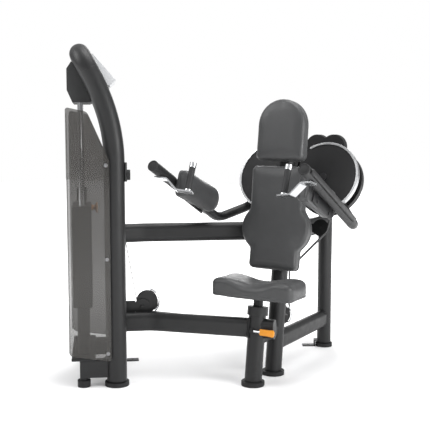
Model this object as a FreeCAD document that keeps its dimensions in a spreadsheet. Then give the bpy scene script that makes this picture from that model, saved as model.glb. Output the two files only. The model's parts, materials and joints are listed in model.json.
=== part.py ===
"""Lateral raise machine: a weight stack tower, a seat on leaning posts and two swinging arms.

The frame of reference has its origin on the floor under the front seat post.
The user sits facing -Y, +Z is up and the symmetry plane of the seat and arms is X = 0.
"""
import FreeCAD, Part
import os
import re
from math import asin, atan2, cos, degrees, pi, radians, sin, tan
from types import SimpleNamespace
from FreeCAD import Placement, Rotation, Vector

doc = FreeCAD.newDocument("LateralRaiseMachine")

# Driving dimensions, in millimetres and degrees

SIZES = {
    # Tubes and clearances shared by the whole frame
    "seat_clearance": 0.3,
    "running_clearance": 0.05,
    "cut_overrun": 5.0,
    "tower_tube_d": 101.6,
    "post_d": 88.9,
    "upright_d": 82.6,
    "beam_height": 101.6,
    "beam_width": 60.0,
    "beam_bend_radius": 160.0,
    # Feet and floor tabs
    "foot_height": 21.0,
    "foot_neck": 5.0,
    "tower_foot_d": 124.0,
    "post_foot_d": 120.0,
    "upright_foot_d": 100.0,
    "foot_neck_inset": 20.0,
    "tab_length": 70.0,
    "tab_width": 45.0,
    "tab_thickness": 6.0,
    "tab_hole_d": 14.0,
    "tab_riser": 34.0,
    "tab_reach": 60.0,
    "tab_turn": 31.0,
    # Tower
    "tower_x": -597.0,
    "tower_y": -360.0,
    "tower_yaw": 39.5,
    "tower_width": 440.0,
    "leg_straight": 1140.0,
    "leg_bend_radius": 900.0,
    "leg_lean": 27.0,
    "leg_top_length": 58.0,
    "crown_bend_radius": 90.0,
    "rail_back": 187.0,
    "rail_centre_z": 92.0,
    "rail_height": 88.0,
    "rail_width": 50.0,
    "rear_foot_d": 66.0,
    "rear_foot_height": 34.0,
    "rear_foot_stem_d": 40.0,
    "low_cross_z": 290.0,
    "high_cross_z": 748.0,
    "sill_thickness": 12.0,
    "sill_depth": 120.0,
    # Weight stack
    "rod_d": 25.4,
    "rod_spacing": 250.0,
    "rod_back": 168.0,
    "rod_top": 1458.0,
    "plate_count": 15,
    "plate_thickness": 34.25,
    "plate_gap": 0.3,
    "plate_length": 340.0,
    "plate_depth": 96.0,
    "plate_hole_clearance": 2.0,
    "selector_hole_d": 12.0,
    "riser_d": 60.0,
    "riser_height": 247.0,
    "neck_height": 22.0,
    "neck_d": 40.0,
    "head_length": 120.0,
    "head_depth": 50.0,
    "head_height": 66.0,
    "selector_rod_d": 24.0,
    "selector_rod_bottom": 330.0,
    "selector_pin_d": 9.5,
    "selector_pin_length": 62.0,
    "selector_knob_d": 56.0,
    "selector_knob_length": 34.0,
    # Housing, visor and shrouds
    "housing_back": 231.0,
    "housing_bottom": 1440.0,
    "housing_side_bottom": 1466.0,
    "housing_side_top": 1500.0,
    "housing_shoulder": 1605.0,
    "housing_crest_back": 208.0,
    "housing_crest_z": 1640.0,
    "housing_brow_z": 1605.0,
    "housing_keel_back": 205.0,
    "housing_front_low": 52.0,
    "housing_front_high": 135.0,
    "housing_keel_front": 120.0,
    "sheet_thickness": 4.0,
    "keel_thickness": 12.0,
    "belt_slot_length": 60.0,
    "belt_slot_width": 26.0,
    "belt_exit_back": 75.0,
    "belt_exit_length": 34.0,
    "visor_top_back": 103.0,
    "visor_top_z": 1683.0,
    "visor_tip_out": 13.0,
    "visor_tip_z": 1550.0,
    "visor_heel_back": 17.0,
    "visor_heel_z": 1523.0,
    "visor_rear_z": 1664.0,
    "visor_rib_back": 110.0,
    "visor_rib_z": 1570.0,
    "visor_rib_low_back": 92.0,
    "visor_rib_low_z": 1540.0,
    "visor_rib_thickness": 8.0,
    "shroud_back": 238.0,
    "shroud_front": 27.0,
    "shroud_top": 1412.0,
    "shroud_shoulder_back": 132.0,
    "shroud_shoulder_z": 1390.0,
    "shroud_slope_z": 1152.0,
    "shroud_bottom_front": 138.0,
    "shroud_bottom_back": 170.0,
    "shroud_corner_radius": 30.0,
    "shroud_soft_radius": 12.0,
    "shroud_return": 75.0,
    "shroud_bolt_d": 20.0,
    "shroud_bolt_head": 7.0,
    "shroud_bolt_back": 44.0,
    "shroud_bolt_shank_d": 12.0,
    "shroud_bolt_reach": 40.0,
    "shroud_bolt_low": 179.0,
    "shroud_bolt_middle": 659.0,
    "shroud_bolt_high": 1128.0,
    "side_plate_height": 96.0,
    "side_plate_width": 40.0,
    "side_plate_thickness": 10.0,
    "side_plate_bottom": 1044.0,
    "bumper_d": 52.0,
    "bumper_length": 16.0,
    "bumper_z": 1078.0,
    # Belt drive
    "belt_width": 25.0,
    "belt_thickness": 4.0,
    "belt_lift": 0.4,
    "top_pulley_r": 38.6,
    "top_pulley_z": 1530.0,
    "guide_pulley_r": 51.6,
    "guide_pulley_out": 170.0,
    "guide_pulley_z": 386.0,
    "guide_disc_r": 45.0,
    "guide_disc_out": 143.0,
    "guide_disc_z": 359.0,
    "guide_foot_out": 118.0,
    "guide_foot_length": 36.0,
    "guide_foot_z": 296.0,
    "guide_foot_height": 60.0,
    "guide_cover_out": 80.0,
    "guide_cover_length": 52.0,
    "guide_cover_z": 320.0,
    "guide_cover_height": 74.0,
    "guide_bolt_d": 22.0,
    "guide_bolt_head": 8.0,
    "rear_pulley_z": 290.0,
    "rear_disc_r": 38.0,
    "rear_arm_height": 40.0,
    "rear_arm_length": 40.0,
    "yoke_z": 535.0,
    "yoke_width": 90.0,
    "yoke_height": 30.0,
    "yoke_depth": 36.0,
    "pulley_width": 32.0,
    "pulley_flange": 6.0,
    "pulley_flange_width": 3.0,
    "pulley_axle_d": 17.0,
    "pulley_plate_thickness": 6.0,
    "pulley_plate_gap": 1.0,
    "cam_belt_width": 20.0,
    "cam_belt_start": 32.0,
    "cam_belt_wrap": 18.0,
    "redirect_width": 24.0,
    "redirect_flange_width": 1.8,
    "redirect_pulley_r": 40.0,
    "redirect_u": -9.0,
    "redirect_v": -263.0,
    "redirect_plate_height": 50.0,
    "redirect_plate_reach": 24.0,
    "cam_r": 57.6,
    "cam_flange_r": 64.0,
    # Beams
    "base_beam_z": 290.0,
    "base_inward": 66.0,
    "base_knee_out": 190.0,
    "stub_x": 95.0,
    "stub_y": 55.0,
    "saddle_wall": 9.0,
    "saddle_height": 96.0,
    "saddle_sweep": 108.0,
    "upper_beam_z": 748.0,
    "upper_start_outward": 50.0,
    "upper_knee_outward": 86.0,
    "upper_knee_out": 160.0,
    "upper_join_y": 520.0,
    "link_z": 241.0,
    "link_height": 90.0,
    "rear_rail_z": 173.0,
    # Seat and posts
    "lean": 7.5,
    "front_post_length": 390.0,
    "post_bore_bottom": 130.0,
    "collar_d": 108.0,
    "collar_bottom": 359.0,
    "collar_height": 44.0,
    "rear_post_y": 226.0,
    "rear_post_length": 1300.0,
    "upright_y": 904.0,
    "upright_height": 1140.0,
    "stem_d": 50.8,
    "stem_bottom": 180.0,
    "stem_length": 272.0,
    "seat_half_width": 232.0,
    "seat_centre_y": 59.0,
    "seat_half_depth": 106.0,
    "seat_bottom": 452.0,
    "seat_end_top": 530.0,
    "seat_hump_top": 546.0,
    "seat_slope_top": 528.0,
    "seat_dip_top": 515.0,
    "seat_hump_x": 180.0,
    "seat_slope_x": 90.0,
    "seat_rim_x": 220.0,
    "seat_rim_inset": 6.0,
    "seat_end_inset": 20.0,
    "seat_corner": 18.0,
    "seat_plate_thickness": 6.0,
    "seat_plate_width": 300.0,
    "seat_plate_depth": 150.0,
    "lever_z": 280.0,
    "lever_boss_d": 14.0,
    "lever_boss_length": 20.0,
    "lever_hub_d": 28.0,
    "lever_hub_length": 14.0,
    "lever_rod_d": 12.0,
    "lever_rod_length": 52.0,
    "paddle_length": 95.0,
    "paddle_width": 44.0,
    "paddle_thickness": 8.0,
    # Back pad and headrest, up the lean of the posts
    "pad_back": 174.0,
    "pad_thickness": 64.0,
    "back_bottom": 566.0,
    "back_top": 1118.0,
    "back_neck_half": 142.0,
    "back_neck_height": 655.0,
    "back_bulge_half": 200.0,
    "back_bulge_height": 785.0,
    "back_shoulder_half": 156.0,
    "back_shoulder_height": 905.0,
    "back_top_half": 152.0,
    "back_soft_radius": 60.0,
    "head_bottom": 1146.0,
    "head_half": 140.0,
    "head_pad_height": 328.0,
    "head_round": 138.0,
    "pad_corner": 26.0,
    "pad_rear_inset": 8.0,
    "pad_rear_rise": 10.0,
    "pad_side_rise": 42.0,
    "pad_shoulder_inset": 8.0,
    "pad_shoulder_rise": 57.0,
    "pad_face_inset": 24.0,
    "pad_plate_thickness": 6.5,
    "back_plate_width": 170.0,
    "back_plate_bottom": 640.0,
    "back_plate_height": 420.0,
    "head_plate_bottom": 1180.0,
    "head_plate_height": 200.0,
    # Pivots
    "pivot_x": 159.0,
    "pivot_y": 498.0,
    "pivot_z": 1051.0,
    "pivot_tilt": 21.0,
    "cover_r": 186.0,
    "cover_thickness": 22.0,
    "cover_midline_gap": 6.0,
    "cover_bore_depth": 14.0,
    "ring_width": 12.0,
    "ring_thickness": 26.0,
    "ring_proud": 4.0,
    "ring_start": -57.0,
    "ring_sweep": 180.0,
    "ring_seam": 0.5,
    "hub_bolt_d": 40.0,
    "hub_bolt_height": 8.0,
    "slot_back": 84.0,
    "housing_r": 190.0,
    "rear_housing_depth": 32.0,
    "rear_housing_edge": 14.0,
    "rear_housing_floor": 5.0,
    "belt_gate_inner": 10.0,
    "belt_gate_outer": 120.0,
    "hub_d": 130.0,
    "hub_front": 28.0,
    "cam_depth": 25.0,
    "axle_d": 30.0,
    "axle_front": 9.0,
    "axle_boss_d": 70.0,
    "pivot_cross_d": 88.9,
    "pivot_cross_back": 176.0,
    "pivot_cross_end": 44.0,
    "pivot_link_d": 70.0,
    "lobe_r": 72.0,
    "lobe_x": 52.0,
    "lobe_z": 1208.0,
    "lobe_thickness": 40.0,
    "lobe_base_width": 120.0,
    "lobe_base_depth": 60.0,
    # Arms, in the frame of the pivot: across, up and forward
    "arm_tube_d": 50.8,
    "arm_sleeve_d": 57.0,
    "arm_sleeve_length": 190.0,
    "arm_front_u": 251.0,
    "arm_front_v": -214.0,
    "arm_front_w": 764.0,
    "arm_knee_u": 250.0,
    "arm_knee_v": -285.0,
    "arm_knee_w": 70.0,
    "arm_root_u": 132.0,
    "arm_root_v": -168.0,
    "arm_slot_w": -54.5,
    "arm_bend_radius": 95.0,
    "side_bar_thickness": 13.0,
    "side_bar_offset": 30.0,
    "side_bar_height": 44.0,
    "side_bar_length": 600.0,
    "side_bar_inset": 14.0,
    "bracket_thickness": 8.0,
    "bracket_width": 42.0,
    "bracket_outward": 14.0,
    "bracket_back": 74.0,
    "bracket_turn": 20.0,
    "bracket_high_drop": 39.5,
    "bracket_low_drop": 89.0,
    "bracket_lip": 10.0,
    "bracket_first": 53.0,
    "bracket_second": 112.0,
    "bracket_end": 195.0,
    "bracket_bend": 14.0,
    "handle_reach": 169.0,
    "handle_core_d": 22.0,
    "handle_collar_length": 9.0,
    "handle_top_rise": 63.0,
    "handle_cap_d": 34.0,
    "handle_cap_length": 24.0,
    "grip_d": 32.0,
    "arm_pad_length": 350.0,
    "arm_pad_height": 140.0,
    "arm_pad_thickness": 72.0,
    "arm_pad_side_rise": 50.0,
    "arm_pad_shoulder_rise": 65.0,
    "arm_pad_back": 346.0,
    "arm_pad_lift": 9.0,
    "arm_plate_length": 250.0,
    "arm_plate_height": 96.0,
    "arm_plate_drop": 22.0,
    "arm_plate_thickness": 8.0,
    "arm_plate_gap": 6.0,
    "arm_standoff_d": 24.0,
    "arm_bolt_spacing": 150.0,
    "arm_bolt_d": 15.0,
    "arm_bolt_height": 5.0,
    "arm_bolt_drop": 44.0,
}

sheet = doc.addObject("Spreadsheet::Sheet", "Dimensions")
for row, (alias, value) in enumerate(SIZES.items(), start=1):
    sheet.set("A%d" % row, alias)
    sheet.set("B%d" % row, str(value))
    sheet.setAlias("B%d" % row, alias)
doc.recompute()
d = SimpleNamespace(**SIZES)

nodes = {}


def bound(text):
    """The expression with every named size taken from the sheet."""
    return re.sub(r"[a-z_]+", lambda m: "Dimensions." + m.group() if m.group() in SIZES else m.group(), text)


def bind(obj, **sizes):
    for prop, text in sizes.items():
        obj.setExpression(prop, bound(text))
    return obj


def at(x=0.0, y=0.0, z=0.0, rotation=None):
    return Placement(Vector(x, y, z), rotation or Rotation())


def about(axis, angle):
    return Rotation(axis, angle)


SAME_PLACE = 1e-6
X_AXIS = Vector(1, 0, 0)
Y_AXIS = Vector(0, 1, 0)
Z_AXIS = Vector(0, 0, 1)
ALONG_X = about(Y_AXIS, 90)
ALONG_Y = about(X_AXIS, -90)
SIDE_VIEW = about(X_AXIS, 90)


def keep(name, obj, place=None):
    """obj is the sub-part of that name."""
    obj.Label = name
    if place is not None:
        obj.Placement = place
    nodes[name] = obj
    return obj


def cylinder(name, radius, height, place=None):
    obj = bind(doc.addObject("Part::Cylinder", name), Radius=radius, Height=height)
    obj.Placement = place or at()
    return obj


def block(name, length, width, height, place=None):
    """A box centred on its own origin across, and standing on it."""
    obj = bind(doc.addObject("Part::Box", name), Length=length, Width=width, Height=height)
    doc.recompute()
    centre = at(-obj.Length.Value / 2, -obj.Width.Value / 2)
    obj.Placement = (place or at()) * centre
    return obj


def fused(name, parts):
    obj = doc.addObject("Part::MultiFuse", name)
    obj.Shapes = list(parts)
    obj.Refine = True
    return obj


def less(name, base, *tools):
    """base with each tool cut away."""
    for number, tool in enumerate(tools, start=1):
        obj = doc.addObject("Part::Cut", "%s_%d" % (name, number))
        obj.Base = base
        obj.Tool = tool
        base = obj
    return base


def stored(name, shape, place=None):
    obj = doc.addObject("Part::Feature", name)
    obj.Shape = shape
    obj.Placement = place or at()
    return obj


def corner(before, point, after, radius):
    """The arc that rounds one corner: its first, middle and last points."""
    back = (before - point).normalize()
    on = (after - point).normalize()
    half = back.getAngle(on) / 2
    reach = radius / tan(half)
    centre = point + (back + on).normalize() * (radius / sin(half))
    middle = centre + (point - centre).normalize() * radius
    return point + back * reach, middle, point + on * reach


def rounded(points, radii, closed=False):
    """Line and arc edges through the points, each corner rounded by its radius."""
    count = len(points)
    stops = []
    for i, point in enumerate(points):
        radius = radii[i] if isinstance(radii, (list, tuple)) else radii
        end = not closed and i in (0, count - 1)
        if end or not radius:
            stops.append((point,))
        else:
            stops.append(corner(points[i - 1], point, points[(i + 1) % count], radius))
    edges = []
    for i, stop in enumerate(stops):
        if len(stop) == 3:
            edges.append(("arc",) + stop)
        if i < count - 1 or closed:
            start, end = stop[-1], stops[(i + 1) % count][0]
            if not end.isEqual(start, SAME_PLACE):
                edges.append(("line", start, end))
    return edges


def geometry(edges):
    made = []
    for edge in edges:
        if edge[0] == "line":
            made.append(Part.LineSegment(edge[1], edge[2]))
        else:
            made.append(Part.Arc(*edge[1:]))
    return made


def wire(edges):
    return Part.Wire([item.toShape() for item in geometry(edges)])


def band(edges, half):
    """A closed outline that lies half a thickness either side of a flat open route."""
    def normal(edge, point):
        if edge[0] == "line":
            run = (edge[2] - edge[1]).normalize()
            return Vector(-run.y, run.x, 0)
        centre = Part.Circle(*edge[1:]).Center
        turn = (edge[2] - edge[1]).cross(edge[3] - edge[2]).z
        away = (point - centre).normalize()
        return away * (-1 if turn > 0 else 1)

    def moved(edge, offset):
        return (edge[0],) + tuple(point + normal(edge, point) * offset for point in edge[1:])

    left = [moved(edge, half) for edge in edges]
    right = [moved(edge, -half) for edge in edges]
    back = [(edge[0],) + tuple(reversed(edge[1:])) for edge in reversed(right)]
    end_cap = ("line", left[-1][-1], back[0][1])
    start_cap = ("line", back[-1][-1], left[0][1])
    return left + [end_cap] + back + [start_cap]


def sketched(body, name, edges, offset=0.0):
    sketch = body.newObject("Sketcher::SketchObject", name)
    plane = [item for item in body.Origin.OriginFeatures if item.Role == "XY_Plane"]
    sketch.AttachmentSupport = [(plane[0], "")]
    sketch.MapMode = "FlatFace"
    sketch.AttachmentOffset = at(0, 0, offset)
    sketch.addGeometry(geometry(edges), False)
    return sketch


def slab(name, outlines, thickness, place=None, offset=0.0):
    """An outline, and any holes in it, pushed along its own +Z."""
    body = doc.addObject("PartDesign::Body", name)
    sketch = sketched(body, name + "_outline", [edge for edges in outlines for edge in edges], offset)
    pad = body.newObject("PartDesign::Pad", name + "_pad")
    pad.Profile = sketch
    bind(pad, Length=thickness)
    body.Tip = pad
    body.Placement = place or at()
    return body


def lofted(name, sections, place=None, ruled=False):
    """A body through outlines that stand at several heights."""
    body = doc.addObject("PartDesign::Body", name)
    drawn = [sketched(body, "%s_section_%d" % (name, i), edges, height)
             for i, (height, edges) in enumerate(sections, start=1)]
    loft = body.newObject("PartDesign::AdditiveLoft", name + "_loft")
    loft.Profile = drawn[0]
    loft.Sections = drawn[1:]
    loft.Ruled = ruled
    body.Tip = loft
    body.Placement = place or at()
    return body


def oval(width, height):
    """A flat sided tube section, its round ends up and down."""
    radius = width / 2
    flat = height / 2 - radius
    return [("line", Vector(radius, -flat, 0), Vector(radius, flat, 0)),
            ("arc", Vector(radius, flat, 0), Vector(0, flat + radius, 0), Vector(-radius, flat, 0)),
            ("line", Vector(-radius, flat, 0), Vector(-radius, -flat, 0)),
            ("arc", Vector(-radius, -flat, 0), Vector(0, -flat - radius, 0), Vector(radius, -flat, 0))]


def straight_beam(name, start, end, height="beam_height", grown=0.0):
    """An oval tube between two points at one height. A cutter is grown by a clearance all round."""
    run = end - start
    turn = about(Z_AXIS, degrees(atan2(run.y, run.x)))
    facing = Rotation(Vector(0, 1, 0), Vector(0, 0, 1), Vector(1, 0, 0), "ZXY")
    body = doc.addObject("PartDesign::Body", name)
    sketch = sketched(body, name + "_section", oval(d.beam_width + 2 * grown, SIZES[height] + 2 * grown))
    pad = body.newObject("PartDesign::Pad", name + "_pad")
    pad.Profile = sketch
    pad.Length = run.Length
    body.Tip = pad
    body.Placement = Placement(start, turn * facing)
    return body


def bent_beam(name, points, radius):
    """An oval tube along a level route with bends."""
    spine = wire(rounded(points, radius))
    run = points[1] - points[0]
    turn = about(Z_AXIS, degrees(atan2(run.y, run.x)))
    facing = Rotation(Vector(0, 1, 0), Vector(0, 0, 1), Vector(1, 0, 0), "ZXY")
    section = wire(oval(d.beam_width, d.beam_height))
    section.Placement = Placement(points[0], turn * facing)
    return stored(name, spine.makePipeShell([section], True, False))


def round_pipe(name, points, radii, radius):
    """A round tube along a route in space."""
    spine = wire(rounded(points, radii))
    ring = Part.Circle(points[0], points[1] - points[0], radius).toShape()
    return stored(name, spine.makePipeShell([Part.Wire([ring])], True, False))


def block_between(name, x0, x1, y0, y1, z0, z1, place=None):
    """A box given by its two ends along each axis of its frame."""
    obj = doc.addObject("Part::Box", name)
    obj.Length = x1 - x0
    obj.Width = y1 - y0
    obj.Height = z1 - z0
    obj.Placement = (place or at()) * at(x0, y0, z0)
    return obj


def points(*pairs):
    return [Vector(x, y, 0) for x, y in pairs]


def inset(corners, radii, amount):
    """The same closed outline drawn in by an amount."""
    moved = []
    rounds = []
    for i, point in enumerate(corners):
        before = (corners[i - 1] - point).normalize()
        after = (corners[(i + 1) % len(corners)] - point).normalize()
        half = before.getAngle(after) / 2
        convex = before.cross(after).z < 0
        inward = (before + after).normalize() * (1 if convex else -1)
        moved.append(point + inward * (amount / sin(half)))
        rounds.append(radii[i] - amount if convex else radii[i] + amount)
    return rounded(moved, rounds, closed=True)


def route(stops):
    """Straight runs and arcs over round pulleys.

    A stop is a point, or a centre with a radius and a turn: 1 to the left, -1 to the right.
    """
    circles = [(stop + (0, 1))[:4] if len(stop) == 2 else stop for stop in stops]
    runs = []
    for (x0, y0, r0, s0), (x1, y1, r1, s1) in zip(circles, circles[1:]):
        gap = Vector(x1 - x0, y1 - y0, 0)
        heading = atan2(gap.y, gap.x) - asin((s1 * r1 - s0 * r0) / gap.Length)
        left = Vector(-sin(heading), cos(heading), 0)
        start = Vector(x0, y0, 0) - left * (s0 * r0)
        end = Vector(x1, y1, 0) - left * (s1 * r1)
        runs.append((heading, start, end))
    edges = []
    for i, (heading, start, end) in enumerate(runs):
        edges.append(("line", start, end))
        if i + 1 < len(runs):
            x, y, r, s = circles[i + 1]
            turn = runs[i + 1][0] - heading
            while turn * s < 0:
                turn += s * 2 * pi
            middle = heading + turn / 2
            left = Vector(-sin(middle), cos(middle), 0)
            edges.append(("arc", end, Vector(x, y, 0) - left * (s * r), runs[i + 1][1]))
    return edges


def wheel(name, radius, width, flange_width, place):
    """A flanged pulley turning about +Z of its place, which stands at its middle."""
    core = cylinder(name + "_core", radius, width, at(0, 0, -SIZES[width] / 2))
    low = cylinder(name + "_rim", radius + " + pulley_flange", flange_width, at(0, 0, -SIZES[width] / 2))
    high = cylinder(name + "_rim", radius + " + pulley_flange", flange_width,
                    at(0, 0, SIZES[width] / 2 - SIZES[flange_width]))
    bore = cylinder(name + "_bore", "pulley_axle_d / 2 + running_clearance", width + " + 2 * cut_overrun",
                    at(0, 0, -SIZES[width] / 2 - d.cut_overrun))
    return keep(name, less(name + "_turned", fused(name + "_blank", [core, low, high]), bore), place)


# Frames

TOWER = at(d.tower_x, d.tower_y, 0, about(Z_AXIS, d.tower_yaw))
FRONT_POST = at(0, 0, 0, about(X_AXIS, -d.lean))
REAR_POST = at(0, d.rear_post_y, 0, about(X_AXIS, -d.lean))
UPRIGHT = at(0, d.upright_y, 0)
PADS = at(0, d.pad_back, 0, about(X_AXIS, 90 - d.lean))
SIDES = {"left": 1, "right": -1}
MIDDLE = d.tower_width / 2
GAP = d.seat_clearance
OVER = d.cut_overrun


def pivot(side):
    return at(side * d.pivot_x, d.pivot_y, d.pivot_z, about(X_AXIS, 90 - d.pivot_tilt))


def in_tower(out, across, z):
    """A world point from its place in the tower's frame."""
    return TOWER.multVec(Vector(out, across, z))


def on_post(place, z):
    """Where the axis of a leaning post passes one height."""
    return place.multVec(Vector(0, 0, z / cos(radians(d.lean))))


def post_clear(name, place, size="post_d"):
    return cylinder(name, size + " / 2 + seat_clearance", "rear_post_length", place)


def leg_clear(name, across):
    return cylinder(name, "tower_tube_d / 2 + seat_clearance", "leg_straight", at(0, across, 0))


# Tower legs and crown: one bent tube in three welded lengths

lean = radians(d.leg_lean)
leg_rise = Vector(-sin(lean), 0, cos(lean))
leg_corner = Vector(0, 0, d.leg_straight + d.leg_bend_radius * tan(lean / 2))
leg_top = leg_corner + leg_rise * (d.leg_bend_radius * tan(lean / 2) + d.leg_top_length)
leg_bottom = Vector(0, 0, d.foot_height + d.foot_neck + GAP)
for name, across in (("tower_near_leg", 0), ("tower_far_leg", d.tower_width)):
    shift = Vector(0, across, 0)
    leg = round_pipe(name, [leg_bottom + shift, leg_corner + shift, leg_top + shift],
                     d.leg_bend_radius, d.tower_tube_d / 2)
    keep(name, leg, TOWER)
width_shift = Vector(0, d.tower_width, 0)
crown_corner = leg_top + leg_rise * d.crown_bend_radius
crown_route = [leg_top, crown_corner, crown_corner + width_shift, leg_top + width_shift]
keep("tower_crown", round_pipe("tower_crown", crown_route, d.crown_bend_radius, d.tower_tube_d / 2), TOWER)

low_cross = straight_beam("low_cross", Vector(0, 0, d.low_cross_z), Vector(0, d.tower_width, d.low_cross_z))
high_cross = straight_beam("high_cross", Vector(0, 0, d.high_cross_z), Vector(0, d.tower_width, d.high_cross_z))
crosses = less("crosses", fused("cross_pair", [low_cross, high_cross]),
               leg_clear("near_leg_clear", 0), leg_clear("far_leg_clear", d.tower_width))
keep("tower_cross_members", crosses, TOWER)

rails = []
for across in (0, d.tower_width):
    rail = bind(doc.addObject("Part::Box", "base_rail"), Length="rail_back", Width="rail_width",
                Height="rail_height")
    rail.Placement = at(-d.rail_back, across - d.rail_width / 2, d.rail_centre_z - d.rail_height / 2)
    stem_base = d.rear_foot_height + GAP
    stem = cylinder("rear_foot_stem", "rear_foot_stem_d / 2", "rail_centre_z - rear_foot_height - seat_clearance",
                    at(-d.rail_back + d.rear_foot_stem_d / 2, across, stem_base))
    rails += [rail, stem]
rail_pair = less("rails", fused("rail_blanks", rails), leg_clear("near_leg_clear", 0),
                 leg_clear("far_leg_clear", d.tower_width))
keep("tower_base_rails", rail_pair, TOWER)

sill_base = d.rail_centre_z + d.rail_height / 2 + GAP
sill = block("rear_sill", "sill_depth", "tower_width + rail_width", "sill_thickness",
             TOWER * at(-d.rod_back, MIDDLE, sill_base))
keep("tower_rear_sill", sill)

# Guide rods, risers and weights

sill_top = sill_base + d.sill_thickness
stack_base = sill_top + GAP + d.riser_height + GAP
rod_places = [MIDDLE - d.rod_spacing / 2, MIDDLE + d.rod_spacing / 2]
rods = []
risers = []
rod_holes = []
for across in rod_places:
    rods.append(cylinder("guide_rod", "rod_d / 2", "rod_top - %r" % (sill_top + GAP),
                         at(-d.rod_back, across, sill_top + GAP)))
    tube = cylinder("riser_tube", "riser_d / 2", "riser_height", at(-d.rod_back, across, sill_top + GAP))
    risers.append(tube)
    rod_holes.append(cylinder("rod_hole", "rod_d / 2 + plate_hole_clearance", "rod_top",
                              at(-d.rod_back, across, 0)))
keep("guide_rods", fused("rod_pair", rods), TOWER)
keep("stack_risers", less("riser_tubes", fused("riser_pair", risers), fused("riser_holes", rod_holes)), TOWER)


def plate_height(number):
    return stack_base + number * (d.plate_thickness + d.plate_gap)


fixed_plates = []
selector_holes = [cylinder("selector_hole", "selector_rod_d / 2 + plate_hole_clearance", "rod_top",
                           at(-d.rod_back, MIDDLE, 0))]
plate_front = -d.rod_back + d.plate_depth / 2
for number in range(d.plate_count - 1):
    base = plate_height(number)
    fixed_plates.append(block("plate", "plate_depth", "plate_length", "plate_thickness",
                              at(-d.rod_back, MIDDLE, base)))
    selector_holes.append(cylinder("pin_hole", "selector_hole_d / 2", "plate_depth / 2 + cut_overrun",
                                   at(-d.rod_back, MIDDLE, base + d.plate_thickness / 2, ALONG_X)))
plate_holes = [cylinder("rod_hole", "rod_d / 2 + plate_hole_clearance", "rod_top",
                        at(-d.rod_back, across, 0)) for across in rod_places]
stack = less("drilled_plates", fused("plate_blanks", fixed_plates),
             fused("plate_holes", selector_holes + plate_holes))
keep("weight_plates", stack, TOWER)

top_plate_base = plate_height(d.plate_count - 1)
top_plate_top = top_plate_base + d.plate_thickness
head_base = top_plate_top + d.neck_height
head_top = head_base + d.head_height
carriage = fused("carriage_blank", [
    block("top_plate", "plate_depth", "plate_length", "plate_thickness", at(-d.rod_back, MIDDLE, top_plate_base)),
    block("head_block", "head_depth", "head_length", "head_height", at(-d.rod_back, MIDDLE, head_base)),
    cylinder("head_neck", "neck_d / 2", "neck_height + cut_overrun", at(-d.rod_back, MIDDLE, top_plate_top)),
    cylinder("selector_rod", "selector_rod_d / 2", "selector_rod_bottom",
             at(-d.rod_back, MIDDLE, top_plate_base - d.selector_rod_bottom)),
])
slides = [cylinder("slide_bore", "rod_d / 2 + running_clearance", "rod_top", at(-d.rod_back, across, 0))
          for across in rod_places]
pin_z = top_plate_base + d.plate_thickness / 2
knob_start = plate_front + GAP * 2
pin_start = knob_start - d.selector_pin_length + OVER
pin_bore = cylinder("pin_bore", "selector_pin_d / 2 + running_clearance", "plate_depth",
                    at(pin_start - GAP, MIDDLE, pin_z, ALONG_X))
keep("weight_carriage", less("carriage", carriage, slides[0], slides[1], pin_bore), TOWER)

pin = cylinder("pin", "selector_pin_d / 2", "selector_pin_length", at(pin_start, MIDDLE, pin_z, ALONG_X))
knob = cylinder("knob", "selector_knob_d / 2", "selector_knob_length", at(knob_start, MIDDLE, pin_z, ALONG_X))
keep("selector_pin", fused("pin_and_knob", [pin, knob]), TOWER)

# Housing, visor and shrouds, each drawn in the side view of the tower

wall_gap = d.tower_tube_d / 2 + GAP
housing_width = d.tower_width - 2 * wall_gap
SIDE_ON = at(0, d.tower_width - wall_gap, 0, SIDE_VIEW)
housing_line = points((-d.housing_front_low, d.housing_side_bottom), (-d.housing_keel_front, d.housing_bottom),
                      (-d.housing_keel_back, d.housing_bottom), (-d.housing_back, d.housing_side_top),
                      (-d.housing_back, d.housing_shoulder), (-d.housing_crest_back, d.housing_crest_z),
                      (-d.housing_front_high, d.housing_brow_z))
wall = d.sheet_thickness
brow_slope = (d.housing_crest_z - d.housing_brow_z) / (d.housing_crest_back - d.housing_front_high)
brow_front_z = d.housing_crest_z - (d.housing_crest_back + OVER) * brow_slope
inner_line = points((OVER, d.housing_side_bottom + wall),
                    (-d.housing_keel_front, d.housing_bottom + d.keel_thickness),
                    (-d.housing_keel_back, d.housing_bottom + d.keel_thickness),
                    (-d.housing_back + wall, d.housing_side_top), (-d.housing_back + wall, d.housing_shoulder),
                    (-d.housing_crest_back, d.housing_crest_z - wall), (OVER, brow_front_z - wall))
shell = slab("housing_shell", [rounded(housing_line, 0, closed=True)],
             "tower_width - tower_tube_d - 2 * seat_clearance", SIDE_ON)
hollow = slab("housing_hollow", [rounded(inner_line, 0, closed=True)],
              "tower_width - tower_tube_d - 2 * seat_clearance - 2 * sheet_thickness",
              SIDE_ON * at(0, 0, wall))
rod_seats = [cylinder("rod_seat", "rod_d / 2 + seat_clearance", "rod_top", at(-d.rod_back, across, 0))
             for across in rod_places]
belt_slot = block("belt_slot", "belt_slot_width", "belt_slot_length", "keel_thickness + 2 * cut_overrun",
                  at(-d.rod_back, MIDDLE, d.housing_bottom - OVER))
belt_exit = block("belt_exit", "belt_exit_length", "belt_slot_length",
                  "housing_side_bottom - housing_bottom + keel_thickness + 2 * cut_overrun",
                  at(-d.belt_exit_back, MIDDLE, d.housing_bottom - OVER))
crown_clear = round_pipe("crown_clear", crown_route, d.crown_bend_radius, d.tower_tube_d / 2 + GAP)
open_shell = less("open_shell", shell, hollow, rod_seats[0], rod_seats[1], belt_slot, belt_exit, crown_clear)
top_lift = d.top_pulley_r + d.belt_lift + d.belt_thickness / 2
top_axle_out = -d.rod_back + top_lift
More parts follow.
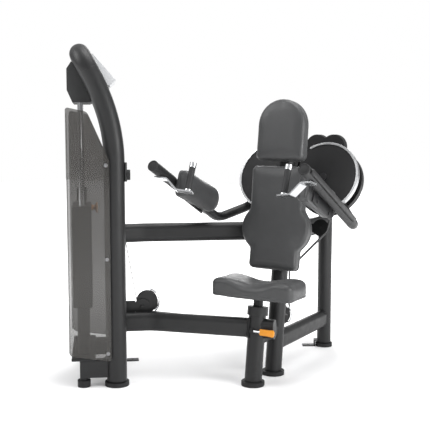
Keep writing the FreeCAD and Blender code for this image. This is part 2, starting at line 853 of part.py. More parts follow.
top_axle = cylinder("top_axle", "pulley_axle_d / 2", "tower_width - tower_tube_d - 2 * seat_clearance",
                    SIDE_ON * at(top_axle_out, d.top_pulley_z, 0))
keep("tower_housing", fused("housing", [open_shell, top_axle]), TOWER)

visor_line = points((-d.visor_top_back, d.visor_top_z), (-d.visor_top_back, d.visor_rear_z),
                    (-d.visor_heel_back, d.visor_heel_z), (d.visor_tip_out, d.visor_tip_z))
visor_blank = slab("visor_panel", [rounded(visor_line, 0, closed=True)],
                   "tower_width - tower_tube_d - 2 * seat_clearance", SIDE_ON)
rib_line = points((-d.visor_top_back, d.visor_rear_z), (-d.visor_rib_back, d.visor_rib_z),
                  (-d.visor_rib_low_back, d.visor_rib_low_z), (-d.visor_heel_back, d.visor_heel_z))
ribs = [slab("visor_rib", [rounded(rib_line, 0, closed=True)], "visor_rib_thickness", SIDE_ON * at(0, 0, lift))
        for lift in (0, housing_width - d.visor_rib_thickness)]
keep("top_visor", less("visor", fused("visor_set", [visor_blank] + ribs), crown_clear), TOWER)

shroud_line = points((-d.shroud_front, d.shroud_bottom_front), (-d.shroud_front, d.shroud_slope_z),
                     (-d.shroud_shoulder_back, d.shroud_shoulder_z), (-d.shroud_back, d.shroud_top),
                     (-d.shroud_back, d.shroud_bottom_back))
shroud_radii = [d.shroud_soft_radius, d.shroud_corner_radius, d.shroud_corner_radius, d.shroud_soft_radius,
                d.shroud_corner_radius]
bolt_heights = [d.shroud_bolt_low, d.shroud_bolt_middle, d.shroud_bolt_high]
bolts = []
for name, side in (("shroud_near", -1), ("shroud_far", 1)):
    tube_across = MIDDLE + side * MIDDLE
    inner = tube_across + side * wall_gap
    outer = inner + side * wall
    face = at(0, max(inner, outer), 0, SIDE_VIEW)
    panel = slab(name + "_panel", [rounded(shroud_line, shroud_radii, closed=True)], "sheet_thickness", face)
    back_low = d.shroud_bottom_back + d.shroud_corner_radius
    back_high = d.shroud_top - d.shroud_corner_radius
    turned = sorted((outer, outer - side * d.shroud_return))
    flange = block_between(name + "_return", -d.shroud_back, -d.shroud_back + wall, turned[0], turned[1],
                           back_low, back_high)
    holes = []
    for z in bolt_heights:
        turn = about(X_AXIS, side * 90)
        start = at(-d.shroud_bolt_back, outer + side * (d.shroud_bolt_head + GAP), z, turn)
        bolts.append(cylinder("bolt_head", "shroud_bolt_d / 2", "shroud_bolt_head", start))
        bolts.append(cylinder("bolt_shank", "shroud_bolt_shank_d / 2", "shroud_bolt_reach", start))
        holes.append(cylinder("bolt_hole", "shroud_bolt_shank_d / 2 + seat_clearance", "shroud_bolt_reach",
                              start))
    keep(name, less(name + "_drilled", fused(name + "_blank", [panel, flange]),
                    fused(name + "_holes", holes)), TOWER)
bolt_set = less("bolt_set", fused("bolt_blanks", bolts), leg_clear("near_leg_clear", 0),
                leg_clear("far_leg_clear", d.tower_width))
keep("shroud_bolts", bolt_set, TOWER)

tube_front = d.tower_tube_d / 2 + GAP
keep("side_plate", block("side_plate", "side_plate_thickness", "side_plate_width", "side_plate_height",
                         TOWER * at(tube_front + d.side_plate_thickness / 2, 0, d.side_plate_bottom)))
bumper_at = at(tube_front + d.side_plate_thickness + GAP, 0, d.bumper_z, ALONG_X)
keep("side_bumper", cylinder("side_bumper", "bumper_d / 2", "bumper_length"), TOWER * bumper_at)

# Beams between the tower and the seat

base_across = MIDDLE - d.base_inward
knee_start = in_tower(0, base_across, d.base_beam_z)
knee = in_tower(d.base_knee_out, base_across, d.base_beam_z)
post_at_beam = on_post(FRONT_POST, d.base_beam_z)
base_tube = bent_beam("base_tube", [knee_start, knee, post_at_beam], d.beam_bend_radius)
beam_angle = degrees(atan2(knee.y, knee.x))
saddle_low = d.base_beam_z - d.saddle_height / 2
saddle = bind(doc.addObject("Part::Cylinder", "saddle"), Radius="post_d / 2 + seat_clearance + saddle_wall",
              Height="saddle_height", Angle="saddle_sweep")
saddle.Placement = FRONT_POST * at(0, 0, saddle_low, about(Z_AXIS, beam_angle - d.saddle_sweep / 2))

PLATE_SIDE = MIDDLE - d.pulley_width / 2 - d.pulley_plate_gap
BELT_VIEW = TOWER * at(0, PLATE_SIDE, 0, SIDE_VIEW)
guide_disc = cylinder("guide_disc", "guide_disc_r", "pulley_plate_thickness",
                      BELT_VIEW * at(d.guide_disc_out, d.guide_disc_z, 0))
guide_head = cylinder("guide_bolt", "guide_bolt_d / 2", "pulley_plate_thickness + guide_bolt_head",
                      BELT_VIEW * at(d.guide_disc_out, d.guide_disc_z, 0))
axle_reach = d.pulley_width + d.pulley_plate_gap * 2
AXLE_LENGTH = "pulley_width + 2 * pulley_plate_gap + pulley_plate_thickness"
guide_axle = cylinder("guide_axle", "pulley_axle_d / 2", AXLE_LENGTH,
                      BELT_VIEW * at(d.guide_pulley_out, d.guide_pulley_z, -axle_reach))
guide_foot = block_between("guide_foot", d.guide_foot_out, d.guide_foot_out + d.guide_foot_length,
                            base_across, PLATE_SIDE, d.guide_foot_z,
                            d.guide_foot_z + d.guide_foot_height / 2, TOWER)
guide_plate = block_between("guide_plate", d.guide_foot_out, d.guide_foot_out + d.guide_foot_length,
                            PLATE_SIDE - d.pulley_plate_thickness, PLATE_SIDE,
                            d.guide_foot_z, d.guide_foot_z + d.guide_foot_height, TOWER)
guide_cover = block_between("guide_cover", d.guide_cover_out - d.guide_cover_length / 2,
                            d.guide_cover_out + d.guide_cover_length / 2,
                            PLATE_SIDE - d.pulley_plate_thickness, PLATE_SIDE,
                            d.guide_cover_z, d.guide_cover_z + d.guide_cover_height, TOWER)
face_out = d.beam_width / 2 + GAP
cross_trim = block_between("cross_trim", -face_out, face_out, 0, d.tower_width, 0, d.leg_straight, TOWER)
base_blank = fused("base_blank", [base_tube, saddle, guide_disc, guide_head, guide_axle, guide_foot, guide_plate,
                                  guide_cover])
keep("base_beam", less("base_cut", base_blank, cross_trim, post_clear("front_clear", FRONT_POST)))

# Posts

floor_clear = d.foot_height + d.foot_neck + GAP


def floor_cut(name, y):
    return block_between(name, -d.post_d, d.post_d, y - d.post_d, y + d.post_d, -d.post_d, floor_clear)


stub = straight_beam("stub", post_at_beam, Vector(d.stub_x, d.stub_y, d.base_beam_z))
boss_out = -d.post_d / 2 - d.lever_boss_length
lever_boss = cylinder("lever_boss", "lever_boss_d / 2",
                      "post_d / 2 + lever_boss_length - stem_d / 2 - cut_overrun",
                      FRONT_POST * at(0, boss_out, d.lever_z, ALONG_Y))
front_tube = cylinder("front_tube", "post_d / 2", "front_post_length", FRONT_POST)
front_bore = cylinder("front_bore", "stem_d / 2 + running_clearance", "front_post_length",
                      FRONT_POST * at(0, 0, d.post_bore_bottom))
keep("front_post", less("front_cut", fused("front_blank", [front_tube, stub, lever_boss]), front_bore,
                        floor_cut("front_floor", 0)))

collar = cylinder("collar_ring", "collar_d / 2", "collar_height")
collar_pocket = cylinder("collar_pocket", "post_d / 2 + seat_clearance",
                         "front_post_length - collar_bottom + seat_clearance + cut_overrun", at(0, 0, -OVER))
collar_bore = cylinder("collar_bore", "stem_d / 2 + running_clearance", "collar_height + 2 * cut_overrun",
                       at(0, 0, -OVER))
keep("front_post_collar", less("collar", collar, collar_pocket, collar_bore),
     FRONT_POST * at(0, 0, d.collar_bottom))

rear_lift = d.guide_pulley_r + d.belt_lift + d.belt_thickness / 2
yaw = radians(d.tower_yaw)
belt_rise_out = (MIDDLE * sin(yaw) - d.tower_x) / cos(yaw)
belt_rise_y = in_tower(belt_rise_out, MIDDLE, 0).y
rear_wheel_out = belt_rise_out - rear_lift
post_out = TOWER.inverse().multVec(REAR_POST.multVec(Vector(0, 0, d.rear_pulley_z)))
rear_tube = cylinder("rear_tube", "post_d / 2", "rear_post_length", REAR_POST)
rear_disc = cylinder("rear_disc", "rear_disc_r", "pulley_plate_thickness",
                     BELT_VIEW * at(rear_wheel_out, d.rear_pulley_z, 0))
rear_axle = cylinder("rear_axle", "pulley_axle_d / 2", AXLE_LENGTH,
                     BELT_VIEW * at(rear_wheel_out, d.rear_pulley_z, -axle_reach))
arm_ends = sorted((post_out.x, rear_wheel_out))
rear_arm = block_between("rear_arm", arm_ends[0] - d.rear_arm_length / 2, arm_ends[1] + d.rear_arm_length / 2,
                         post_out.y, PLATE_SIDE, d.rear_pulley_z - d.rear_arm_height / 2,
                         d.rear_pulley_z + d.rear_arm_height / 2, TOWER)
keep("rear_post", less("rear_cut", fused("rear_blank", [rear_tube, rear_disc, rear_axle, rear_arm]),
                       floor_cut("rear_floor", d.rear_post_y)))

upright = cylinder("rear_upright", "upright_d / 2", "upright_height - foot_height - foot_neck - seat_clearance")
keep("rear_upright", upright, UPRIGHT * at(0, 0, floor_clear))

link = straight_beam("link_tube", on_post(FRONT_POST, d.link_z), on_post(REAR_POST, d.link_z), "link_height")
stub_clear = straight_beam("stub_clear", post_at_beam, Vector(d.stub_x, d.stub_y, d.base_beam_z), grown=GAP)
keep("post_link", less("link_cut", link, stub_clear, post_clear("front_clear", FRONT_POST),
                       post_clear("rear_clear", REAR_POST)))

rail_tube = straight_beam("rail_tube", on_post(REAR_POST, d.rear_rail_z), Vector(0, d.upright_y, d.rear_rail_z))
keep("rear_rail", less("rail_cut", rail_tube, post_clear("rear_clear", REAR_POST),
                       post_clear("upright_clear", UPRIGHT, "upright_d")))

spine_tube = straight_beam("spine_tube", on_post(REAR_POST, d.upper_beam_z),
                           Vector(0, d.upright_y, d.upper_beam_z))
cam_back = d.slot_back + d.cam_depth / 2 + GAP * 2
spine_parts = [spine_tube]
plate_clears = []
for side in SIDES.values():
    plate_front_a = cam_back + d.redirect_width / 2 + d.pulley_plate_gap
    plate_back_a = plate_front_a + d.pulley_plate_thickness
    span = sorted((side * (d.redirect_u + d.redirect_plate_reach),
                   -side * (d.pivot_x - d.beam_width / 2 + OVER)))
    spine_parts.append(block_between("redirect_plate", span[0], span[1],
                                     d.redirect_v - d.redirect_plate_height / 2,
                                     d.redirect_v + d.redirect_plate_height / 2,
                                     -plate_back_a, -plate_front_a, pivot(side)))
    plate_clears.append(block_between("redirect_plate_clear", span[0] - GAP, span[1] + GAP,
                                      d.redirect_v - d.redirect_plate_height / 2 - GAP,
                                      d.redirect_v + d.redirect_plate_height / 2 + GAP,
                                      -plate_back_a - GAP, -plate_front_a + GAP, pivot(side)))
    spine_parts.append(cylinder("redirect_axle", "pulley_axle_d / 2",
                                "redirect_width + 2 * pulley_plate_gap + pulley_plate_thickness",
                                pivot(side) * at(side * d.redirect_u, d.redirect_v, -plate_back_a)))
keep("upper_spine", less("spine_cut", fused("spine_blank", spine_parts), post_clear("rear_clear", REAR_POST),
                         post_clear("upright_clear", UPRIGHT, "upright_d")))

upper_points = [in_tower(0, MIDDLE + d.upper_start_outward, d.upper_beam_z),
                in_tower(d.upper_knee_out, MIDDLE + d.upper_knee_outward, d.upper_beam_z),
                Vector(0, d.upper_join_y, d.upper_beam_z)]
upper_tube = bent_beam("upper_tube", upper_points, d.beam_bend_radius)
cross_trim_high = block_between("cross_trim", -face_out, face_out, 0, d.tower_width, 0, d.leg_straight, TOWER)
spine_trim = block_between("spine_trim", -face_out, d.pivot_x, d.rear_post_y, d.upright_y, 0, d.leg_straight)
keep("upper_beam", less("upper_cut", upper_tube, cross_trim_high, spine_trim, plate_clears[0], plate_clears[1]))

# Pivot cross tube with its axles, and the covers on the upright

cross_centre = pivot(1).multVec(Vector(0, 0, -d.pivot_cross_back))
cross_parts = [
    cylinder("cross_tube", "pivot_cross_d / 2", "2 * pivot_x + 2 * pivot_cross_end",
             at(-d.pivot_x - d.pivot_cross_end, cross_centre.y, cross_centre.z, ALONG_X)),
    cylinder("cross_link", "pivot_link_d / 2", "upright_y - %r" % cross_centre.y,
             at(0, cross_centre.y, cross_centre.z, ALONG_Y)),
]
for side in SIDES.values():
    cross_parts.append(cylinder("axle_boss", "axle_boss_d / 2",
                                "pivot_cross_back - slot_back - rear_housing_depth - seat_clearance",
                                pivot(side) * at(0, 0, -d.pivot_cross_back)))
    cross_parts.append(cylinder("axle", "axle_d / 2", "pivot_cross_back - axle_front",
                                pivot(side) * at(0, 0, -d.pivot_cross_back)))
keep("pivot_cross", less("cross_cut", fused("cross_blank", cross_parts),
                         post_clear("upright_clear", UPRIGHT, "upright_d")))

lobe_base = d.upright_height + GAP
lobes = [cylinder("lobe", "lobe_r", "lobe_thickness",
                  at(side * d.lobe_x, d.upright_y - d.lobe_thickness / 2, d.lobe_z, ALONG_Y))
         for side in SIDES.values()]
lobes.append(block_between("lobe_base", -d.lobe_base_width / 2, d.lobe_base_width / 2,
                           d.upright_y - d.lobe_base_depth / 2, d.upright_y + d.lobe_base_depth / 2,
                           lobe_base, d.lobe_z))
lobe_floor = block_between("lobe_floor", -d.pivot_x, d.pivot_x, d.upright_y - d.pivot_x, d.upright_y + d.pivot_x,
                           d.lobe_z - d.pivot_x, lobe_base)
keep("crown_covers", less("lobe_cut", fused("lobe_blank", lobes), lobe_floor))

# Feet and floor tabs

feet = []
foot_places = [(TOWER, "tower_foot_d"), (TOWER * at(0, d.tower_width, 0), "tower_foot_d"),
               (at(), "post_foot_d"), (at(0, d.rear_post_y, 0), "post_foot_d"), (UPRIGHT, "upright_foot_d")]
for place, size in foot_places:
    feet.append(cylinder("foot", size + " / 2", "foot_height", place))
    feet.append(cylinder("foot_neck", size + " / 2 - foot_neck_inset", "foot_height + foot_neck", place))
for across in (0, d.tower_width):
    feet.append(cylinder("rear_foot", "rear_foot_d / 2", "rear_foot_height",
                         TOWER * at(-d.rail_back + d.rear_foot_stem_d / 2, across, 0)))
keep("feet", fused("foot_set", feet))

tab_start = d.tower_foot_d / 2 + GAP
far_tab = block_between("far_tab", tab_start, tab_start + d.tab_length, d.tower_width - d.tab_width / 2,
                        d.tower_width + d.tab_width / 2, 0, d.tab_thickness, TOWER)
thick = d.tab_thickness
step_line = points((0, 0), (-d.tab_length, 0), (-d.tab_length, -thick), (thick, -thick),
                   (thick, d.tab_riser - thick), (d.tab_reach, d.tab_riser - thick), (d.tab_reach, d.tab_riser),
                   (0, d.tab_riser))
TAB_SIDE = UPRIGHT * at(0, 0, 0, about(Z_AXIS, d.tab_turn))
step_tab = slab("step_tab", [rounded(step_line, 0, closed=True)], "tab_width",
                TAB_SIDE * at(-d.tab_reach, d.tab_width / 2, thick, SIDE_VIEW))
tab_holes = [cylinder("tab_hole", "tab_hole_d / 2", "tab_thickness + 2 * cut_overrun", place)
             for place in (TOWER * at(tab_start + d.tab_length / 2, d.tower_width, -OVER),
                           TAB_SIDE * at(-d.tab_reach - d.tab_length / 2, 0, -OVER))]
keep("floor_tabs", less("tab_cut", fused("tab_set", [far_tab, step_tab]), fused("tab_hole_pair", tab_holes),
                        post_clear("upright_clear", UPRIGHT, "upright_d")))

# Big round covers of the two pivots

chord = d.pivot_x - d.cover_midline_gap
covers, trims, caps, cups = [], [], [], []
for side in SIDES.values():
    place = pivot(side)
    span = sorted((-side * chord, -side * 2 * d.housing_r))
    trim = block_between("chord_trim", span[0], span[1], -2 * d.housing_r, 2 * d.housing_r,
                         -d.pivot_cross_back, d.pivot_cross_back, place)
    disc = cylinder("cover_disc", "cover_r", "cover_thickness", place * at(0, 0, -d.cover_thickness))
    bore = cylinder("cover_bore", "axle_d / 2 + seat_clearance", "cover_bore_depth + cut_overrun",
                    place * at(0, 0, -d.cover_thickness - OVER))
    covers.append(less("cover_cut", disc, trim, bore))
    caps.append(cylinder("hub_bolt", "hub_bolt_d / 2", "hub_bolt_height", place * at(0, 0, GAP)))
    half_sweep = d.ring_sweep / 2
    first = d.ring_start if side > 0 else 180 - d.ring_start - d.ring_sweep
    for number in range(2):
        start = first + number * half_sweep
        sector = bind(doc.addObject("Part::Cylinder", "ring_sector"),
                      Radius="cover_r + seat_clearance + ring_width", Height="ring_thickness",
                      Angle="ring_sweep / 2 - ring_seam")
        turned = at(0, 0, d.ring_proud - d.ring_thickness, about(Z_AXIS, start + d.ring_seam / 2))
        sector.Placement = place * turned
        core = cylinder("ring_core", "cover_r + seat_clearance", "ring_thickness + 2 * cut_overrun",
                        place * at(0, 0, d.ring_proud - d.ring_thickness - OVER))
        trims.append(less("ring_piece", sector, core))
    cup_back = d.slot_back + d.rear_housing_depth
    drum = cylinder("cup_drum", "housing_r", "rear_housing_depth", place * at(0, 0, -cup_back))
    room = cylinder("cup_room", "housing_r - rear_housing_edge", "rear_housing_depth",
                    place * at(0, 0, -cup_back + d.rear_housing_floor))
    hole = cylinder("cup_hole", "axle_d / 2 + seat_clearance", "rear_housing_depth + 2 * cut_overrun",
                    place * at(0, 0, -cup_back - OVER))
    reach = sorted((side * d.belt_gate_inner, side * d.belt_gate_outer))
    gate = block_between("belt_gate", reach[0], reach[1], -2 * d.housing_r, -d.cam_flange_r,
                         -cup_back + d.rear_housing_floor, -d.slot_back + OVER, place)
    cup_trim = block_between("cup_trim", span[0], span[1], -2 * d.housing_r, 2 * d.housing_r,
                             -d.pivot_cross_back, d.pivot_cross_back, place)
    cups.append(less("cup_cut", drum, room, hole, gate, cup_trim))
keep("front_covers", fused("cover_pair", covers))
keep("ring_trims", fused("trim_set", trims))
keep("hub_bolts", fused("cap_pair", caps))
keep("rear_housings", fused("cup_pair", cups))

# Cushions of the seat, back and head

neck, bulge = d.back_neck_half, d.back_bulge_half
shoulder, top_half = d.back_shoulder_half, d.back_top_half
back_line = points((neck, d.back_bottom), (neck, d.back_neck_height), (bulge, d.back_bulge_height),
                   (shoulder, d.back_shoulder_height), (top_half, d.back_top),
                   (-top_half, d.back_top), (-shoulder, d.back_shoulder_height), (-bulge, d.back_bulge_height),
                   (-neck, d.back_neck_height), (-neck, d.back_bottom))
soft = d.back_soft_radius
back_radii = [d.pad_corner, soft, soft, soft, d.pad_corner, d.pad_corner, soft, soft, soft, d.pad_corner]
head_line = points((d.head_half, d.head_bottom), (d.head_half, d.head_bottom + d.head_pad_height),
                   (-d.head_half, d.head_bottom + d.head_pad_height), (-d.head_half, d.head_bottom))
head_radii = [d.pad_corner, d.head_round, d.head_round, d.pad_corner]


def cushion(name, line, radii, side_rise, shoulder_rise, thickness, place):
    """A flat cushion drawn in at its back edge and crowned at its face."""
    steps = [(0, d.pad_rear_inset), (d.pad_rear_rise, 0), (side_rise, 0), (shoulder_rise, d.pad_shoulder_inset),
             (thickness, d.pad_face_inset)]
    return keep(name, lofted(name, [(rise, inset(line, radii, amount)) for rise, amount in steps], ruled=True),
                place)


cushion("back_pad", back_line, back_radii, d.pad_side_rise, d.pad_shoulder_rise, d.pad_thickness, PADS)
cushion("headrest", head_line, head_radii, d.pad_side_rise, d.pad_shoulder_rise, d.pad_thickness, PADS)

plates = []
for low, height in ((d.back_plate_bottom, d.back_plate_height), (d.head_plate_bottom, d.head_plate_height)):
    plates.append(block_between("pad_plate", -d.back_plate_width / 2, d.back_plate_width / 2, low, low + height,
                                -GAP - d.pad_plate_thickness, -GAP, PADS))
keep("back_plates", fused("plate_pair", plates))

seat_low, corner_round = d.seat_bottom, d.seat_corner
half = d.seat_half_depth
seat_steps = [(d.seat_half_width, d.seat_end_inset, d.seat_end_top),
              (d.seat_rim_x, d.seat_rim_inset, d.seat_end_top), (d.seat_hump_x, 0, d.seat_hump_top),
              (d.seat_slope_x, 0, d.seat_slope_top), (0, 0, d.seat_dip_top)]
seat_steps = [(-x, e, top) for x, e, top in seat_steps] + [step for step in reversed(seat_steps) if step[0]]
seat_sections = []
for x, e, top in seat_steps:
    line = points((half - e, seat_low + e), (half - e, top - e / 2), (e - half, top - e / 2),
                  (e - half, seat_low + e))
    seat_sections.append((x, rounded(line, corner_round, closed=True)))
ACROSS = Rotation(Y_AXIS, Z_AXIS, X_AXIS, "ZXY")
keep("seat_pad", lofted("seat_pad", seat_sections, ruled=True), at(0, d.seat_centre_y, 0, ACROSS))

carrier_top = d.seat_bottom - GAP
carrier_plate = block_between("seat_plate", -d.seat_plate_width / 2, d.seat_plate_width / 2,
                              d.seat_centre_y - d.seat_plate_depth / 2, d.seat_centre_y + d.seat_plate_depth / 2,
                              carrier_top - d.seat_plate_thickness, carrier_top)
stem = cylinder("stem", "stem_d / 2", "stem_length", FRONT_POST * at(0, 0, d.stem_bottom))
stem_trim = block_between("stem_trim", -d.post_d, d.post_d, -d.post_d, 2 * d.post_d, carrier_top,
                          carrier_top + d.post_d)
keep("seat_carrier", less("carrier", fused("carrier_blank", [stem, carrier_plate]), stem_trim))

lever_y = -d.post_d / 2 - GAP
hub = cylinder("lever_hub", "lever_hub_d / 2", "lever_hub_length",
               FRONT_POST * at(0, lever_y - d.lever_hub_length, d.lever_z, ALONG_Y))
rod_y = lever_y - d.lever_hub_length / 2
lever_rod = cylinder("lever_rod", "lever_rod_d / 2", "lever_rod_length",
                     FRONT_POST * at(0, rod_y, d.lever_z, ALONG_X))
paddle_start = d.lever_rod_length - OVER
paddle = block_between("paddle", paddle_start, paddle_start + d.paddle_length, rod_y - d.paddle_thickness / 2,
                       rod_y + d.paddle_thickness / 2, d.lever_z - d.paddle_width / 2,
                       d.lever_z + d.paddle_width / 2, FRONT_POST)
lever_bore = cylinder("lever_bore", "lever_boss_d / 2 + running_clearance", "lever_hub_length + 2 * cut_overrun",
                      FRONT_POST * at(0, lever_y - d.lever_hub_length - OVER, d.lever_z, ALONG_Y))
keep("seat_lever", less("lever", fused("lever_blank", [hub, lever_rod, paddle]), lever_bore))

# Pulleys and belts

BELT_MIDDLE = TOWER * at(0, MIDDLE, 0, SIDE_VIEW)
wheel("top_pulley", "top_pulley_r", "pulley_width", "pulley_flange_width",
      BELT_MIDDLE * at(top_axle_out, d.top_pulley_z, 0))
wheel("guide_pulley", "guide_pulley_r", "pulley_width", "pulley_flange_width",
      BELT_MIDDLE * at(d.guide_pulley_out, d.guide_pulley_z, 0))
wheel("rear_pulley", "guide_pulley_r", "pulley_width", "pulley_flange_width",
      BELT_MIDDLE * at(rear_wheel_out, d.rear_pulley_z, 0))
for name, side in SIDES.items():
    wheel(name + "_redirect_pulley", "redirect_pulley_r", "redirect_width", "redirect_flange_width",
          pivot(side) * at(side * d.redirect_u, d.redirect_v, -cam_back))

belt_stops = [(-d.rod_back, head_top + GAP), (top_axle_out, d.top_pulley_z, top_lift, -1),
              (d.guide_pulley_out, d.guide_pulley_z, rear_lift, 1),
              (rear_wheel_out, d.rear_pulley_z, rear_lift, 1), (belt_rise_out, d.yoke_z - GAP)]
keep("drive_belt", slab("drive_belt", [band(route(belt_stops), d.belt_thickness / 2)], "belt_width"),
     TOWER * at(0, MIDDLE + d.belt_width / 2, 0, SIDE_VIEW))

keep("yoke", block("yoke_block", "yoke_width", "yoke_depth", "yoke_height", at(0, belt_rise_y, d.yoke_z)))

cam_lift = d.cam_r + d.belt_lift + d.belt_thickness / 2
redirect_lift = d.redirect_pulley_r + d.belt_lift + d.belt_thickness / 2
yoke_top = Vector(0, belt_rise_y, d.yoke_z + d.yoke_height + GAP + d.cam_belt_width / 2)
start = pivot(1).inverse().multVec(yoke_top)
wrap = radians(d.cam_belt_wrap)
wrap_stop = (cam_lift * (cos(wrap) - sin(wrap)), cam_lift * (sin(wrap) + cos(wrap)))
cam_belts = []
for side in SIDES.values():
    run = route([(start.x + d.cam_belt_start, start.y), (d.redirect_u, d.redirect_v, redirect_lift, 1),
                 (0, 0, cam_lift, 1), wrap_stop])[:-1]
    outline = band(run, d.belt_thickness / 2)
    if side < 0:
        outline = [(edge[0],) + tuple(Vector(-p.x, p.y, 0) for p in edge[1:]) for edge in outline]
    cam_belts.append(slab("cam_belt", [outline], "cam_belt_width",
                          pivot(side) * at(0, 0, -cam_back - d.cam_belt_width / 2)))
keep("cam_belts", fused("cam_belt_pair", cam_belts))

# Arms

bracket_front = d.arm_front_w - d.bracket_back
bracket_high, bracket_low = d.arm_front_v - d.bracket_high_drop, d.arm_front_v - d.bracket_low_drop
handle_top = d.arm_front_v + d.handle_top_rise
for word, side in SIDES.items():
    place = pivot(side)
    front = Vector(side * d.arm_front_u, d.arm_front_v, d.arm_front_w)
    arm_knee = Vector(side * d.arm_knee_u, d.arm_knee_v, d.arm_knee_w)
    root = Vector(side * d.arm_root_u, d.arm_root_v, d.arm_slot_w)
    hub_point = Vector(0, 0, d.arm_slot_w)
    pipe = round_pipe(word + "_arm_pipe", [front, arm_knee, root, hub_point], d.arm_bend_radius, d.arm_tube_d / 2)
    run = (front - arm_knee).normalize()
    line_frame = place * Placement(front, Rotation(X_AXIS, Vector(), run, "ZXY"))
    pipe.Placement = place
    sleeve = cylinder("sleeve", "arm_sleeve_d / 2", "arm_sleeve_length",
                      line_frame * at(0, 0, -d.arm_sleeve_length))
    offset = side * d.side_bar_offset
    bar = block_between("side_bar", offset - d.side_bar_thickness / 2, offset + d.side_bar_thickness / 2,
                        -d.side_bar_height / 2, d.side_bar_height / 2, -d.side_bar_inset - d.side_bar_length,
                        -d.side_bar_inset, line_frame)
    hub_back = d.slot_back + GAP * 2
    hub_drum = cylinder("hub_drum", "hub_d / 2", "slot_back + 2 * seat_clearance - hub_front",
                        place * at(0, 0, -hub_back))
    cam_rear = hub_back + d.cam_depth
    cam = cylinder("cam", "cam_r", "cam_depth", place * at(0, 0, -cam_rear))
    rims = [cylinder("cam_rim", "cam_flange_r", "redirect_flange_width", place * at(0, 0, z))
            for z in (-cam_rear, -hub_back - d.redirect_flange_width)]
    arm_bore = cylinder("arm_bore", "axle_d / 2 + running_clearance", "pivot_cross_back",
                        place * at(0, 0, -d.pivot_cross_back))
    keep(word + "_arm", less(word + "_arm_bored",
                             fused(word + "_arm_blank", [pipe, sleeve, bar, hub_drum, cam] + rims), arm_bore))

    bracket_frame = place * at(side * (d.arm_front_u + d.bracket_outward), 0, bracket_front,
                               about(Y_AXIS, -side * d.bracket_turn))
    bend_line = [Vector(side * x, y, 0) for x, y in (
        (d.bracket_lip, bracket_high), (-d.bracket_first, bracket_high),
        (-d.bracket_second, bracket_low), (-d.bracket_end, bracket_low))]
    strip = slab(word + "_strip", [band(rounded(bend_line, d.bracket_bend), d.bracket_thickness / 2)],
                 "bracket_width", bracket_frame * at(0, 0, -d.bracket_width / 2))
    stand = bracket_frame * at(-side * d.handle_reach, bracket_low, 0, SIDE_VIEW.inverted())
    rise = handle_top - bracket_low
    collar_start = d.bracket_thickness / 2
    core = cylinder("handle_core", "handle_core_d / 2", "handle_top_rise + bracket_low_drop", stand)
    foot = cylinder("handle_collar", "handle_cap_d / 2", "handle_collar_length + bracket_thickness / 2", stand)
    cap = cylinder("handle_cap", "handle_cap_d / 2", "handle_cap_length",
                   stand * at(0, 0, rise - d.handle_cap_length))
    sleeve_clear = cylinder("sleeve_clear", "arm_sleeve_d / 2 + seat_clearance", "arm_sleeve_length + cut_overrun",
                            line_frame * at(0, 0, -d.arm_sleeve_length))
    bar_clear = block_between("bar_clear", offset - d.side_bar_thickness / 2 - GAP,
                              offset + d.side_bar_thickness / 2 + GAP, -d.side_bar_height / 2 - GAP,
                              d.side_bar_height / 2 + GAP, -d.side_bar_length, 0, line_frame)
    keep(word + "_handle_bracket", less(word + "_bracket_cut",
                                        fused(word + "_bracket_blank", [strip, core, foot, cap]),
                                        sleeve_clear, bar_clear))
    grip_start = collar_start + d.handle_collar_length + GAP
    grip_length = rise - d.handle_cap_length - GAP - grip_start
    grip_tube = cylinder("grip_tube", "grip_d / 2", repr(grip_length), at(0, 0, grip_start))
    grip_bore = cylinder("grip_bore", "handle_core_d / 2 + seat_clearance", "arm_pad_length", at())
    keep(word + "_handle_grip", less(word + "_grip", grip_tube, grip_bore), stand)

    inward = Rotation(Vector(0, 0, side), Y_AXIS, Vector(-side, 0, 0), "ZXY")
    plate_face = d.arm_tube_d / 2 + d.arm_plate_gap
    pad_frame = line_frame * at(0, d.arm_pad_lift, -d.arm_pad_back) * at(
        -side * (plate_face + d.arm_plate_thickness + GAP), 0, 0, inward)
    long_half, tall_half = d.arm_pad_length / 2, d.arm_pad_height / 2
    pad_line = points((long_half, -tall_half), (long_half, tall_half), (-long_half, tall_half),
                      (-long_half, -tall_half))
    cushion(word + "_arm_pad", pad_line, [d.pad_corner] * 4, d.arm_pad_side_rise, d.arm_pad_shoulder_rise,
            d.arm_pad_thickness, pad_frame)
    low, high = -d.arm_plate_drop - d.arm_plate_height / 2, -d.arm_plate_drop + d.arm_plate_height / 2
    board = block_between("arm_board", -d.arm_plate_length / 2, d.arm_plate_length / 2, low, high,
                          -GAP - d.arm_plate_thickness, -GAP, pad_frame)
    fixings = [board]
    for shift in (-d.arm_bolt_spacing / 2, d.arm_bolt_spacing / 2):
        fixings.append(cylinder("standoff", "arm_standoff_d / 2", "arm_tube_d / 2 + arm_plate_gap",
                                pad_frame * at(shift, -d.arm_pad_lift, -GAP - d.arm_plate_thickness / 2
                                               - d.arm_tube_d / 2 - d.arm_plate_gap)))
        fixings.append(cylinder("arm_bolt", "arm_bolt_d / 2", "arm_bolt_height + arm_plate_thickness / 2",
                                pad_frame * at(shift, -d.arm_bolt_drop - d.arm_pad_lift,
                                               -GAP - d.arm_plate_thickness - d.arm_bolt_height)))
    tube_clear = cylinder("tube_clear", "arm_tube_d / 2 + seat_clearance", "arm_front_w",
                          line_frame * at(0, 0, -d.arm_front_w))
    keep(word + "_pad_plate",
         less(word + "_pad_plate_cut", fused(word + "_pad_plate_blank", fixings), tube_clear))

doc.recompute()

